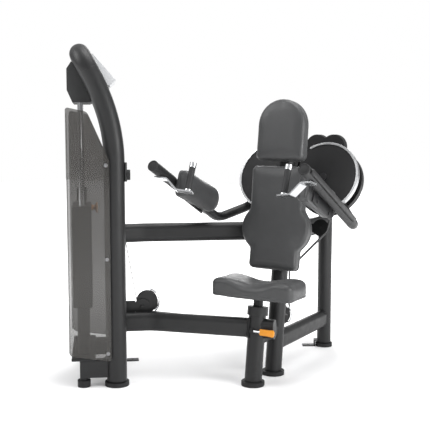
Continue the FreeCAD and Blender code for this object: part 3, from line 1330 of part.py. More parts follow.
bad = [obj.Name for obj in doc.Objects if "Invalid" in obj.State or "Error" in obj.State]
for name, obj in nodes.items():
    if obj.Shape.isNull() or not obj.Shape.isValid():
        bad.append(name)
if bad:
    raise RuntimeError("objects that failed: %s" % ", ".join(bad))
os.makedirs("parts", exist_ok=True)
for name, obj in nodes.items():
    obj.Shape.exportStep("parts/%s.step" % name)
    print("%-24s solids %2d volume %9.1f" % (name, len(obj.Shape.Solids), obj.Shape.Volume / 1000))
print("sub-parts", len(nodes))
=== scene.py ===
"""The looks of the lateral raise machine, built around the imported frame. All lengths are in metres."""

import json
from math import cos, exp, log, pi, radians, sin, sqrt, tan, tau

import bmesh
import bpy
import numpy as np
from mathutils import Matrix, Vector


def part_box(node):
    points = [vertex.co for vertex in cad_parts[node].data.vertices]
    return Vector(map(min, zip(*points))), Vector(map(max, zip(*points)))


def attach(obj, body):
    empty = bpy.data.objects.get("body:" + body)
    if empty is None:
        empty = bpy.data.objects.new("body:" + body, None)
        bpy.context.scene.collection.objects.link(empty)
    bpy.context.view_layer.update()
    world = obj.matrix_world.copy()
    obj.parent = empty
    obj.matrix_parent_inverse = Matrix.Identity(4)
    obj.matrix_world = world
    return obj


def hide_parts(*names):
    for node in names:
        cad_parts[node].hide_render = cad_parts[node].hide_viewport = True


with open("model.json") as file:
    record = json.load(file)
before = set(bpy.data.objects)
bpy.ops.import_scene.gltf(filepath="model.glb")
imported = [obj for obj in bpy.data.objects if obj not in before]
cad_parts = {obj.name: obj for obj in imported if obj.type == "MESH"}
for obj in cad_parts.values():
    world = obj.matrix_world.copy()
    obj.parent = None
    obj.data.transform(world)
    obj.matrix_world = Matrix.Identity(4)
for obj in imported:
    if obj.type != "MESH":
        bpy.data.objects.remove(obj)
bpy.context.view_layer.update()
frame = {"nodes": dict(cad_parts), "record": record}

NODES = frame["nodes"]
scene = bpy.context.scene


# Frames of reference, as in the part's source

LEAN = radians(7.5)
PAD_UP = Vector((0.0, sin(LEAN), cos(LEAN)))
PAD_FORWARD = Vector((0.0, -cos(LEAN), sin(LEAN)))
X_AXIS = Vector((1.0, 0.0, 0.0))
Y_AXIS = Vector((0.0, 1.0, 0.0))
Z_AXIS = Vector((0.0, 0.0, 1.0))

TOWER_ORIGIN = Vector((-0.597, -0.360, 0.0))
TOWER_YAW = radians(39.5)
TOWER_WIDTH = 0.440
TOWER_OUT = Vector((cos(TOWER_YAW), sin(TOWER_YAW), 0.0))
TOWER_ACROSS = Vector((-sin(TOWER_YAW), cos(TOWER_YAW), 0.0))

PIVOT_TILT = radians(21.0)
PIVOT_UP = Vector((0.0, sin(PIVOT_TILT), cos(PIVOT_TILT)))
PIVOT_FORWARD = Vector((0.0, -cos(PIVOT_TILT), sin(PIVOT_TILT)))
PIVOT_PLACE = (0.159, 0.498, 1.051)
PADS_Y = 0.174
SIDES = {"left": 1.0, "right": -1.0}


def in_tower(out, across, z):
    """A place in the tower's own frame."""
    return TOWER_ORIGIN + TOWER_OUT * out + TOWER_ACROSS * across + Z_AXIS * z


def in_pivot(side, u, v, w):
    """A place from one arm's pivot: u is outward, v is up the tilt, w is along the axis."""
    x, y, z = PIVOT_PLACE
    origin = Vector((side * x, y, z))
    return origin + X_AXIS * (side * u) + PIVOT_UP * v + PIVOT_FORWARD * w


def in_pads(x, up, forward):
    """A place in the leaning frame of the back pad and the headrest."""
    return Vector((x, PADS_Y, 0.0)) + PAD_UP * up + PAD_FORWARD * forward


def axes(origin, x, y, z):
    """The matrix that places a piece with its own axes along x, y and z."""
    rotation = Matrix((x, y, z)).transposed().to_4x4()
    return Matrix.Translation(origin) @ rotation


def along(origin, direction, roll=X_AXIS):
    """The matrix that lays a piece's own Z along a direction."""
    z = direction.normalized()
    y = z.cross(roll).normalized()
    return axes(origin, y.cross(z), y, z)


# Materials

MOTTLE_LOW, MOTTLE_HIGH = 0.25, 0.75
BEVEL_SAMPLES = 4


def scaled(colour, amount):
    return tuple(min(1.0, c * amount) for c in colour) + (1.0,)


class Shader:
    """One node material, with its noises read in metres on the object itself."""

    def __init__(self, name):
        self.material = bpy.data.materials.new(name)
        self.material.use_nodes = True
        self.tree = self.material.node_tree
        self.bsdf = self.tree.nodes["Principled BSDF"]
        self.place = self.node("ShaderNodeTexCoord").outputs["Object"]

    def node(self, kind, **values):
        made = self.tree.nodes.new(kind)
        for key, value in values.items():
            if key in made.inputs:
                made.inputs[key].default_value = value
            else:
                setattr(made, key, value)
        return made

    def link(self, out, into):
        self.tree.links.new(out, into)

    def set(self, **values):
        for key, value in values.items():
            self.bsdf.inputs[key.replace("_", " ")].default_value = value

    def stretched(self, scale):
        mapping = self.node("ShaderNodeMapping")
        mapping.inputs["Scale"].default_value = scale
        self.link(self.place, mapping.inputs["Vector"])
        return mapping.outputs["Vector"]

    def noise(self, scale, detail=3.0, rough=0.55, place=None):
        made = self.node("ShaderNodeTexNoise", Scale=scale, Detail=detail, Roughness=rough)
        self.link(place or self.place, made.inputs["Vector"])
        return made.outputs["Fac"]

    def cells(self, scale):
        made = self.node("ShaderNodeTexVoronoi", Scale=scale)
        self.link(self.place, made.inputs["Vector"])
        return made.outputs["Distance"]

    def ranged(self, value, low, high, start=0.3, end=0.7):
        made = self.node("ShaderNodeMapRange")
        for key, number in (("From Min", start), ("From Max", end), ("To Min", low), ("To Max", high)):
            made.inputs[key].default_value = number
        self.link(value, made.inputs["Value"])
        return made.outputs["Result"]

    def ramp(self, value, stops):
        made = self.node("ShaderNodeValToRGB")
        elements = made.color_ramp.elements
        while len(elements) < len(stops):
            elements.new(0.5)
        for element, (position, colour) in zip(elements, stops):
            element.position = position
            element.color = colour
        self.link(value, made.inputs["Fac"])
        return made.outputs["Color"]

    def mottled(self, colour, scale, spread):
        stops = [(MOTTLE_LOW, scaled(colour, 1 - spread)), (MOTTLE_HIGH, scaled(colour, 1 + spread))]
        self.link(self.ramp(self.noise(scale), stops), self.bsdf.inputs["Base Color"])

    def roughness(self, low, high, scale):
        self.link(self.ranged(self.noise(scale), low, high), self.bsdf.inputs["Roughness"])

    def bump(self, height, depth, bevel=0.0, strength=1.0):
        made = self.node("ShaderNodeBump", Strength=strength, Distance=depth)
        self.link(height, made.inputs["Height"])
        if bevel:
            soft = self.node("ShaderNodeBevel", Radius=bevel, samples=BEVEL_SAMPLES)
            self.link(soft.outputs["Normal"], made.inputs["Normal"])
        self.link(made.outputs["Normal"], self.bsdf.inputs["Normal"])


def painted(name, colour, rough=(0.38, 0.5), spread=0.1, grain=650.0, depth=0.00008, bevel=0.003, **values):
    """Powder coat: fine orange peel, faint clouding and uneven gloss."""
    made = Shader(name)
    made.mottled(colour, scale=7.0, spread=spread)
    made.roughness(*rough, scale=28.0)
    made.bump(made.noise(grain, detail=2.0), depth, bevel)
    made.set(**values)
    return made.material


def metal(name, colour, rough, spread, brush=(40.0, 40.0, 2500.0), depth=0.00002, bevel=0.001):
    """Bare or plated metal with a directional brush."""
    made = Shader(name)
    made.mottled(colour, scale=22.0, spread=spread)
    made.roughness(*rough, scale=60.0)
    made.bump(made.noise(1.0, detail=3.0, rough=0.6, place=made.stretched(brush)), depth, bevel)
    made.set(Metallic=1.0)
    return made.material


def vinyl(name, colour):
    """Upholstery vinyl: pebbled leather grain, soft clouding and uneven gloss."""
    made = Shader(name)
    made.mottled(colour, scale=14.0, spread=0.07)
    made.roughness(0.36, 0.48, scale=35.0)
    grain = made.node("ShaderNodeMath", operation="MULTIPLY_ADD")
    made.link(made.cells(760.0), grain.inputs[0])
    grain.inputs[1].default_value = 0.8
    made.link(made.noise(1500.0, detail=2.0), grain.inputs[2])
    made.bump(grain.outputs[0], depth=0.00028, strength=0.55)
    made.set(Sheen_Weight=0.08, Sheen_Roughness=0.45, Specular_IOR_Level=0.5)
    return made.material


def rubber(name, colour, rough=(0.6, 0.78), grain=1100.0, depth=0.00012, bevel=0.002):
    """Moulded rubber or soft plastic with a fine stipple."""
    made = Shader(name)
    made.mottled(colour, scale=18.0, spread=0.12)
    made.roughness(*rough, scale=40.0)
    made.bump(made.cells(grain), depth, bevel)
    made.set(Specular_IOR_Level=0.35)
    return made.material


def smoked(name, colour, alpha):
    """Tinted acrylic sheet with faint flow lines."""
    made = Shader(name)
    made.mottled(colour, scale=3.0, spread=0.08)
    made.roughness(0.08, 0.16, scale=12.0)
    made.bump(made.noise(5.0, detail=1.0), depth=0.0006, strength=0.2)
    made.set(Alpha=alpha, Specular_IOR_Level=0.5)
    return made.material


def belting(name, colour):
    """Woven belt under a rubber face: short ribs across the run."""
    made = Shader(name)
    made.mottled(colour, scale=30.0, spread=0.15)
    made.roughness(0.5, 0.68, scale=80.0)
    ribs = made.stretched((900.0, 900.0, 260.0))
    made.bump(made.noise(1.0, detail=2.0, rough=0.5, place=ribs), depth=0.0002)
    return made.material


MATERIALS = {
    "frame_paint": painted("frame_paint", (0.0125, 0.0127, 0.0131), Specular_IOR_Level=0.36),
    "housing_grey": painted("housing_grey", (0.030, 0.0305, 0.031), rough=(0.5, 0.66), spread=0.2,
                            grain=420.0, depth=0.0003, Specular_IOR_Level=0.3),
    "visor_silver": painted("visor_silver", (0.62, 0.63, 0.64), rough=(0.30, 0.36), spread=0.03,
                            grain=60.0, depth=0.000004, bevel=0.0, Metallic=0.2),
    "shroud_smoke": smoked("shroud_smoke", (0.050, 0.047, 0.043), alpha=0.56),
    "plate_black": painted("plate_black", (0.012, 0.012, 0.0125), rough=(0.5, 0.66), spread=0.2,
                           grain=260.0, depth=0.0002, Specular_IOR_Level=0.3),
    "rod_chrome": metal("rod_chrome", (0.72, 0.73, 0.74), rough=(0.06, 0.14), spread=0.03),
    "rubber_black": rubber("rubber_black", (0.014, 0.0142, 0.0147)),
    "bolt_steel": painted("bolt_steel", (0.02, 0.02, 0.021), rough=(0.3, 0.42), spread=0.12,
                          grain=900.0, depth=0.00003, bevel=0.001),
    "bolt_bright": metal("bolt_bright", (0.26, 0.26, 0.265), rough=(0.28, 0.38), spread=0.06),
    "cover_dark": painted("cover_dark", (0.0095, 0.0095, 0.0099), rough=(0.46, 0.6), spread=0.12,
                          grain=520.0, depth=0.0001, Specular_IOR_Level=0.34),
    "ring_silver": metal("ring_silver", (0.50, 0.505, 0.51), rough=(0.30, 0.42), spread=0.05),
    "pad_vinyl": vinyl("pad_vinyl", (0.036, 0.0368, 0.0378)),
    "pad_board": rubber("pad_board", (0.016, 0.016, 0.0165), rough=(0.55, 0.7), grain=700.0),
    "amber": rubber("amber", (0.68, 0.26, 0.018), rough=(0.34, 0.46), grain=900.0, depth=0.00004),
    "handle_chrome": metal("handle_chrome", (0.62, 0.63, 0.64), rough=(0.14, 0.20), spread=0.02,
                           brush=(9.0, 9.0, 90.0), depth=0.000002, bevel=0.0),
    "grip_rubber": rubber("grip_rubber", (0.021, 0.0213, 0.022), rough=(0.5, 0.64), grain=800.0,
                          depth=0.00016),
    "pulley_black": rubber("pulley_black", (0.011, 0.011, 0.0115), rough=(0.34, 0.48), grain=500.0,
                           depth=0.00004),
    "belt_black": belting("belt_black", (0.014, 0.014, 0.0145)),
}

# The seat's stem is black in the photo, while its slot in the record is chrome
FINISHES = {"seat_carrier": "frame_paint"}
for entry in frame["record"]["subparts"]:
    for place in NODES[entry["node"]].material_slots:
        place.link = "OBJECT"
        place.material = MATERIALS[FINISHES.get(entry["node"], entry["material_slot"])]


# Making pieces

def placed(name, mesh, slot_name, body, matrix=None, smooth=35.0, finish=None):
    """A finished piece, riding on a body. Edges turned by more than the smooth angle stay sharp."""
    piece = bpy.data.objects.new(name, mesh)
    scene.collection.objects.link(piece)
    if matrix is not None:
        piece.matrix_world = matrix
    mesh.materials.clear()
    mesh.materials.append(MATERIALS[finish or slot_name])
    mesh.shade_smooth()
    mesh.set_sharp_from_angle(angle=radians(smooth))
    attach(piece, body)
    return piece


def mesh_from(name, verts, faces):
    mesh = bpy.data.meshes.new(name)
    mesh.from_pydata(verts, [], faces)
    mesh.update()
    return mesh


def stacked(name, rings):
    """A closed mesh through rings of as many points each, from the first to the last."""
    count = len(rings[0])
    verts = [point for ring in rings for point in ring]
    faces = [tuple(reversed(range(count)))]
    for a in range(0, len(verts) - count, count):
        b = a + count
        faces += [(a + i, a + (i + 1) % count, b + (i + 1) % count, b + i) for i in range(count)]
    faces.append(tuple(range(len(verts) - count, len(verts))))
    return mesh_from(name, verts, faces)


def turned(name, profile, steps=48):
    """A closed solid of revolution about Z. The profile is (radius, z) pairs, from axis to axis."""
    verts, faces = [], []
    rings = []
    for radius, z in profile:
        if radius == 0:
            rings.append([len(verts)] * steps)
            verts.append((0.0, 0.0, z))
            continue
        rings.append(list(range(len(verts), len(verts) + steps)))
        verts += [(radius * cos(tau * i / steps), radius * sin(tau * i / steps), z) for i in range(steps)]
    for low, high in zip(rings, rings[1:]):
        for i in range(steps):
            j = (i + 1) % steps
            face = list(dict.fromkeys((low[i], low[j], high[j], high[i])))
            if len(face) > 2:
                faces.append(face)
    return mesh_from(name, verts, faces)


def swept(name, line, radius, sides):
    """A tube along a line of points, with closed ends."""
    rings = []
    normal = None
    for i, point in enumerate(line):
        run = (line[min(i + 1, len(line) - 1)] - line[max(i - 1, 0)]).normalized()
        if normal is None:
            normal = run.cross(Z_AXIS).normalized()
        normal = (normal - run * normal.dot(run)).normalized()
        side = run.cross(normal)
        turns = [tau * k / sides for k in range(sides)]
        rings.append([point + normal * (radius * cos(a)) + side * (radius * sin(a)) for a in turns])
    return stacked(name, rings)


def arc_line(centre, x, y, radius, start, end, steps):
    """Points on an arc in the plane of x and y, angles in degrees."""
    turns = [radians(start + (end - start) * i / steps) for i in range(steps + 1)]
    return [centre + x * (radius * cos(a)) + y * (radius * sin(a)) for a in turns]


# Cushions

VOXEL = 0.005
CUSHION_PRESSURE = 4.0
CLOTH_FRAMES = 20
CLOTH_STIFFNESS = 25.0
CLOTH_BENDING = 2.0
CLOTH_QUALITY = 4
CLOTH_CAP = 0.0035
CALM_ROUNDS = 24
HELD_LEVEL = 0.001
ROOT_LEVEL = 0.012
EDGE_POWER, BACK_POWER = 2.3, 2.0
SEAM_LEVEL = 0.016
SEAM_WIDTH = 0.0035
SEAM_DEPTH = 0.0022
SEAM_STEEPNESS = 1.3
PULL = 0.0025
CHUNK = 6000
TINY = 1e-9
CLOSE = 1e-5


def evaluated(piece):
    graph = bpy.context.evaluated_depsgraph_get()
    return bpy.data.meshes.new_from_object(piece.evaluated_get(graph))


def settled(piece):
    """The piece with its modifiers made part of its mesh."""
    mesh = evaluated(piece)
    piece.modifiers.clear()
    piece.data = mesh
    return piece


def read_points(mesh):
    flat = np.empty(len(mesh.vertices) * 3)
    mesh.vertices.foreach_get("co", flat)
    return flat.reshape(-1, 3)


def write_points(mesh, points):
    mesh.vertices.foreach_set("co", points.ravel())
    mesh.update()


def eased(value):
    value = np.clip(value, 0.0, 1.0)
    return value * value * (3.0 - 2.0 * value)


def smooth_max(a, b, reach):
    """The larger of two lengths, with the corner between them rounded."""
    top = max(a, b)
    return top + reach * log(exp((a - top) / reach) + exp((b - top) / reach))


def pad_outline(half, low, high, low_corner, high_corner, steps=70):
    """A closed outline, alike on both sides of its middle line, with its long sides pulled in."""
    right = []
    for i in range(steps + 1):
        share = 0.5 - 0.5 * cos(pi * i / steps)
        level = low + (high - low) * share
        across = half(level) - PULL * sin(pi * share)
        for edge, corner in ((level - low, low_corner), (high - level, high_corner)):
            if edge < corner:
                across -= corner - sqrt(max(0.0, corner ** 2 - (corner - edge) ** 2))
        right.append((max(across, 0.0), level))
    left = [(-x, level) for x, level in reversed(right)]
    whole = right + left
    return [p for i, p in enumerate(whole) if (Vector(p) - Vector(whole[i - 1])).length > CLOSE]


def from_outline(points, outline):
    """For points in the plane: how far inside the outline, the nearest place on it, the way inward."""
    start = np.array(outline)
    run = np.roll(start, -1, axis=0) - start
    square = (run ** 2).sum(axis=1)
    inward = np.stack((-run[:, 1], run[:, 0]), axis=1) / np.sqrt(square)[:, None]
    depth, nearest, ways = [], [], []
    for first in range(0, len(points), CHUNK):
        part = points[first:first + CHUNK]
        share = ((part[:, None] - start) * run).sum(axis=2) / square
        near = start + np.clip(share, 0.0, 1.0)[..., None] * run
        gap = ((part[:, None] - near) ** 2).sum(axis=2)
        best = gap.argmin(axis=1)
        rows = np.arange(len(part))
        place = near[rows, best]
        sign = np.sign(((part - place) * inward[best]).sum(axis=1))
        far = np.sqrt(gap[rows, best])
        straight = (part - place) / np.maximum(far, TINY)[:, None] * sign[:, None]
        way = np.where(far[:, None] > 10 * CLOSE, straight, inward[best])
        depth.append(far * sign)
        nearest.append(place)
        ways.append(way)
    return np.concatenate(depth), np.concatenate(nearest), np.concatenate(ways)


def rounded_edge(depth, level, radius, power):
    """Turns a square edge between a wall (depth 0) and a face (level 0) into a soft round one."""
    a = np.clip(1.0 - depth / radius, 0.0, 1.0)
    b = np.clip(1.0 - level / radius, 0.0, 1.0)
    both = (a ** power + b ** power) ** (1.0 / power)
    k = np.where(both > 1e-6, np.maximum(a, b) / np.maximum(both, 1e-6), 1.0)
    return (np.where(a > 0, radius * (1.0 - a * k), depth),
            np.where(b > 0, radius * (1.0 - b * k), level))


def inflated(piece, held):
    """Cloth under pressure: the held points stay, and no point moves further than the cap."""
    group = piece.vertex_groups.new(name="held")
    group.add([int(i) for i in np.nonzero(held)[0]], 1.0, "REPLACE")
    rest = read_points(piece.data)
    cloth = piece.modifiers.new("cloth", "CLOTH")
    cloth.settings.use_pressure = True
    cloth.settings.uniform_pressure_force = CUSHION_PRESSURE
    cloth.settings.effector_weights.gravity = 0.0
    cloth.settings.vertex_group_mass = "held"
    cloth.settings.tension_stiffness = CLOTH_STIFFNESS
    cloth.settings.compression_stiffness = CLOTH_STIFFNESS
    cloth.settings.bending_stiffness = CLOTH_BENDING
    cloth.settings.quality = CLOTH_QUALITY
    cloth.point_cache.frame_start = 1
    cloth.point_cache.frame_end = CLOTH_FRAMES
    for number in range(1, CLOTH_FRAMES + 1):
        scene.frame_set(number)
    step = read_points(evaluated(piece)) - rest
    piece.modifiers.clear()
    piece.vertex_groups.clear()
    scene.frame_set(1)
    length = np.sqrt((step ** 2).sum(axis=1))
    step *= (np.minimum(length, CLOTH_CAP) / np.maximum(length, TINY))[:, None]
    return rest, step


def calmed(mesh, field, rounds):
    """A field of moves, averaged with its neighbours so that no single point stands out."""
    ends = np.empty(len(mesh.edges) * 2, dtype=np.int64)
    mesh.edges.foreach_get("vertices", ends)
    ends = ends.reshape(-1, 2)
    count = np.bincount(ends.ravel(), minlength=len(field)).astype(float)
    for _ in range(rounds):
        total = np.zeros_like(field)
        np.add.at(total, ends[:, 0], field[ends[:, 1]])
        np.add.at(total, ends[:, 1], field[ends[:, 0]])
        field = 0.5 * field + 0.5 * total / np.maximum(count, 1.0)[:, None]
    return field


def voxel_slab(name, outline, low, high):
    """A flat block over an outline, with an even fine mesh on all its faces."""
    count = len(outline)
    verts = [(x, y, low) for x, y in outline] + [(x, y, high) for x, y in outline]
    faces = [tuple(reversed(range(count))), tuple(range(count, 2 * count))]
    faces += [(i, (i + 1) % count, count + (i + 1) % count, count + i) for i in range(count)]
    piece = bpy.data.objects.new(name, mesh_from(name, verts, faces))
    scene.collection.objects.link(piece)
    remesh = piece.modifiers.new("remesh", "REMESH")
    remesh.mode = "VOXEL"
    remesh.voxel_size = VOXEL
    return settled(piece)


def upholstered(points, outline, low, high, edge, crown, crown_reach, back_edge, top, edge_extra):
    """The block's points moved onto a crowned face with soft edges."""
    depth, nearest, way = from_outline(points[:, :2], outline)
    level = points[:, 2] - low
    full = high - low
    walls = np.stack((np.abs(depth), np.abs(full - level), np.abs(level)))
    which = walls.argmin(axis=0)
    depth = np.where(which == 0, 0.0, np.maximum(depth, 0.0))
    level = np.where(which == 1, full, np.where(which == 2, 0.0, np.clip(level, 0.0, full)))
    radius = np.full(len(points), edge)
    if edge_extra:
        radius = radius + edge_extra(nearest)
    depth, down = rounded_edge(depth, full - level, radius, EDGE_POWER)
    level = full - down
    depth, level = rounded_edge(depth, level, back_edge, BACK_POWER)
    flat = nearest + way * depth[:, None]
    share = level / full
    level += crown * share * (1.0 - (1.0 - np.clip(depth / crown_reach, 0.0, 1.0)) ** 2) - crown * share
    if top:
        level *= (top(flat) - low) / full
    return np.column_stack((flat, low + level))


def seamed(mesh, low):
    """Draws a sewn seam into the walls, at one level above the back."""
    points = read_points(mesh)
    normals = np.array([v.normal for v in mesh.vertices])
    level = points[:, 2] - low
    steep = np.clip(1.0 - np.abs(normals[:, 2]) * SEAM_STEEPNESS, 0.0, 1.0)
    groove = SEAM_DEPTH * steep * np.clip(1.0 - ((level - SEAM_LEVEL) / SEAM_WIDTH) ** 2, 0.0, 1.0)
    write_points(mesh, points - normals * groove[:, None])


def cushion(name, node, body, place, outline, edge, crown, crown_reach, back_edge=0.005, top=None,
            edge_extra=None):
    """An upholstered pad in the space of a CAD solid: crowned, sides pulled in, flat where it rests."""
    inverse = place.inverted()
    levels = [(inverse @ v.co).z for v in NODES[node].data.vertices]
    low, high = min(levels), max(levels)
    piece = voxel_slab(name, outline, low, high)
    points = upholstered(read_points(piece.data), outline, low, high, edge, crown, crown_reach, back_edge,
                         top, edge_extra)
    write_points(piece.data, points)
    rest, step = inflated(piece, points[:, 2] - low < HELD_LEVEL)
    step *= eased((rest[:, 2] - low) / ROOT_LEVEL)[:, None]
    write_points(piece.data, rest + calmed(piece.data, step, CALM_ROUNDS))
    divide = piece.modifiers.new("subdivision", "SUBSURF")
    divide.levels = 1
    divide.render_levels = 1
    settled(piece)
    mesh = piece.data
    seamed(mesh, low)
    piece.matrix_world = place
    mesh.materials.clear()
    mesh.materials.append(MATERIALS["pad_vinyl"])
    mesh.shade_smooth()
    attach(piece, body)
    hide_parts(node)


PADS = axes(in_pads(0.0, 0.0, 0.0), X_AXIS, PAD_UP, PAD_FORWARD)
PAD_EDGE = 0.021
PAD_CROWN, PAD_CROWN_REACH = 0.005, 0.07
PAD_CORNER = 0.030

BACK_LOW, BACK_HIGH = 0.566, 1.118
NECK_HALF, SHOULDER_HALF = 0.142, 0.156
BULGE_LEVEL, BULGE_CENTRE, BULGE_RADIUS = 0.785, 0.076, 0.125
BULGE_FILLET = 0.007


def back_half(level):
    """Half the back pad's width: straight, with a round bulge whose corners are filled."""
    plain = NECK_HALF if level < BULGE_LEVEL else SHOULDER_HALF
    reach = BULGE_RADIUS ** 2 - (level - BULGE_LEVEL) ** 2
    if reach <= 0:
        return plain
    return smooth_max(plain, BULGE_CENTRE + sqrt(reach), BULGE_FILLET)


cushion("back_cushion", "back_pad", "frame", PADS,
        pad_outline(back_half, BACK_LOW, BACK_HIGH, PAD_CORNER, PAD_CORNER, steps=130),
        PAD_EDGE, PAD_CROWN, PAD_CROWN_REACH)

HEAD_LOW, HEAD_HIGH, HEAD_HALF = 1.146, 1.474, 0.141
cushion("head_cushion", "headrest", "frame", PADS,
        pad_outline(lambda level: HEAD_HALF, HEAD_LOW, HEAD_HIGH, PAD_CORNER, HEAD_HALF, steps=90),
        PAD_EDGE, PAD_CROWN, PAD_CROWN_REACH)

SEAT_HALF, SEAT_HALF_DEPTH, SEAT_CORNER = 0.232, 0.106, 0.036
SEAT_MIDDLE_Y = 0.059
SEAT_LOW_TOP, SEAT_HIGH_TOP, SEAT_END_TOP = 0.519, 0.544, 0.537
SEAT_PEAK = 0.172
SEAT_EDGE, SEAT_BACK_EDGE = 0.026, 0.012
SEAT_CROWN, SEAT_CROWN_REACH = 0.004, 0.05
ROLL = 0.024
ROLL_START, ROLL_RUN = 0.06, 0.03
ROLL_HALF, ROLL_FADE = 0.05, 0.09


def seat_top(flat):
    """The saddle: low in the middle, highest over the thigh rolls, a little lower at the ends."""
    across = np.abs(flat[:, 0])
    inner = SEAT_LOW_TOP + (SEAT_HIGH_TOP - SEAT_LOW_TOP) * eased(across / SEAT_PEAK)
    past = np.clip((across - SEAT_PEAK) / (SEAT_HALF - SEAT_PEAK), 0.0, 1.0)
    return inner - (SEAT_HIGH_TOP - SEAT_END_TOP) * past ** 2


def seat_front(nearest):
    """The middle of the front edge rolls over in a wider curve."""
    front = eased((-nearest[:, 1] - ROLL_START) / ROLL_RUN)
    return ROLL * front * (1.0 - eased((np.abs(nearest[:, 0]) - ROLL_HALF) / ROLL_FADE))


cushion("seat_cushion", "seat_pad", "seat_body",
        axes(Vector((0.0, SEAT_MIDDLE_Y, 0.0)), X_AXIS, Y_AXIS, Z_AXIS),
        pad_outline(lambda level: SEAT_HALF, -SEAT_HALF_DEPTH, SEAT_HALF_DEPTH, SEAT_CORNER, SEAT_CORNER),
        SEAT_EDGE, SEAT_CROWN, SEAT_CROWN_REACH, SEAT_BACK_EDGE, seat_top, seat_front)

ARM_PAD_HALF, ARM_PAD_LENGTH = 0.070, 0.350
ARM_PAD_V, ARM_PAD_W = -0.2402, 0.419
KNEE_CORNER, FRONT_CORNER = 0.066, 0.026
ARM_PAD_EDGE = 0.034
ARM_PAD_CROWN, ARM_PAD_CROWN_REACH = 0.010, 0.06
for word, side in SIDES.items():
    centre = in_pivot(side, 0.0, ARM_PAD_V, ARM_PAD_W)
    place = axes(Vector((0.0, centre.y, centre.z)), PIVOT_UP * -side, PIVOT_FORWARD, X_AXIS * -side)
    cushion(word + "_arm_cushion", word + "_arm_pad", word + "_arm_body", place,
            pad_outline(lambda level: ARM_PAD_HALF, -ARM_PAD_LENGTH / 2, ARM_PAD_LENGTH / 2,
                        KNEE_CORNER, FRONT_CORNER),
            ARM_PAD_EDGE, ARM_PAD_CROWN, ARM_PAD_CROWN_REACH)


# Small hardware

def islands(node):
    """The separate solids of a CAD node, each as its list of points."""
    work = bmesh.new()
    work.from_mesh(NODES[node].data)
    bmesh.ops.remove_doubles(work, verts=work.verts, dist=CLOSE)
    left = set(work.verts)
    groups = []
    for start in work.verts:
        if start not in left:
            continue
        left.remove(start)
        group, edge = [start], [start]
        while edge:
            vert = edge.pop()
            for link in vert.link_edges:
                other = link.other_vert(vert)
                if other in left:
                    left.remove(other)
                    group.append(other)
                    edge.append(other)
        groups.append([v.co.copy() for v in group])
    work.free()
    return groups


def joined(name, meshes):
    """One mesh of many, each with the matrix that places it."""
    work = bmesh.new()
    for mesh, matrix in meshes:
        part = mesh.copy()
        part.transform(matrix)
        work.from_mesh(part)
    made = bpy.data.meshes.new(name)
    work.to_mesh(made)
    work.free()
    return made


HEX_SHARE = 0.52
HEX_DEPTH_SHARE = 0.45
BUTTON_SHARES = [(1.0, 0.0), (1.0, 0.35), (0.93, 0.72), (0.78, 0.94), (0.68, 1.0)]


def button_head(name, radius, height):
    """A round bolt head with a rounded shoulder and a hexagon recess, standing on Z = 0."""
    steps = 36
    hexagon = radius * HEX_SHARE
    rings = [(radius * out, height * up) for out, up in BUTTON_SHARES]
    verts = [(0.0, 0.0, 0.0)]
    for r, z in rings:
        verts += [(r * cos(tau * i / steps), r * sin(tau * i / steps), z) for i in range(steps)]
    for z in (height, height * (1.0 - HEX_DEPTH_SHARE)):
        for i in range(steps):
            turn = tau * i / steps
            within = (turn % (tau / 6)) - tau / 12
            reach = hexagon * cos(tau / 12) / cos(within)
            verts.append((reach * cos(turn), reach * sin(turn), z))
    verts.append((0.0, 0.0, height * (1.0 - HEX_DEPTH_SHARE)))
    count = len(rings) + 2
    faces = [(0, 1 + (i + 1) % steps, 1 + i) for i in range(steps)]
    for ring in range(count - 1):
        a, b = 1 + ring * steps, 1 + (ring + 1) * steps
        faces += [(a + i, a + (i + 1) % steps, b + (i + 1) % steps, b + i) for i in range(steps)]
    last, tip = 1 + (count - 1) * steps, len(verts) - 1
    faces += [(last + i, last + (i + 1) % steps, tip) for i in range(steps)]
    return mesh_from(name, verts, faces)


# Bolt heads of the shrouds

SHROUD_BOLT_RADIUS = 0.010
SHROUD_BOLT_HEIGHT = 0.007
head_mesh = button_head("shroud_bolt", SHROUD_BOLT_RADIUS, SHROUD_BOLT_HEIGHT)
stands = []
for group in islands("shroud_bolts"):
    middle = sum(group, Vector()) / len(group)
    across = (middle - TOWER_ORIGIN).dot(TOWER_ACROSS)
    outward = -TOWER_ACROSS if across < TOWER_WIDTH / 2 else TOWER_ACROSS
    face = max((v - TOWER_ORIGIN).dot(outward) for v in group) - SHROUD_BOLT_HEIGHT
    stand = middle + outward * (face - (middle - TOWER_ORIGIN).dot(outward))
    stands.append((head_mesh, along(stand, outward, Z_AXIS)))
bolts = placed("shroud_bolt_heads", joined("shroud_bolt_heads", stands), "bolt_steel", "frame",
               finish="bolt_bright")
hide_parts("shroud_bolts")


# Selector knob: a narrow stem that flares into a dished disc

knob_low, knob_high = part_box("selector_pin")
KNOB_RADIUS, KNOB_LENGTH = 0.028, 0.034
PIN_RADIUS, PIN_LENGTH = 0.00475, 0.028
knob_tip = max((v.co - TOWER_ORIGIN).dot(TOWER_OUT) for v in NODES["selector_pin"].data.vertices)
knob_z = (knob_low.z + knob_high.z) / 2
knob_profile = [(0.0, -PIN_LENGTH), (PIN_RADIUS, -PIN_LENGTH), (PIN_RADIUS, 0.0),
                (0.0145, 0.0), (0.0155, 0.0015), (0.0150, 0.006), (0.0125, 0.011), (0.0120, 0.015),
                (0.0150, 0.020), (0.0225, 0.0235), (0.0268, 0.0250), (KNOB_RADIUS, 0.0275),
                (0.0275, 0.0305), (0.0255, 0.0325), (0.0205, 0.0322), (0.0140, 0.0312), (0.0080, 0.0318),
                (0.0, KNOB_LENGTH)]
knob_place = along(in_tower(knob_tip - KNOB_LENGTH, TOWER_WIDTH / 2, knob_z), TOWER_OUT, Z_AXIS)
knob = placed("selector_knob", turned("selector_knob", knob_profile), "amber", "pin_body", knob_place,
              smooth=50.0)
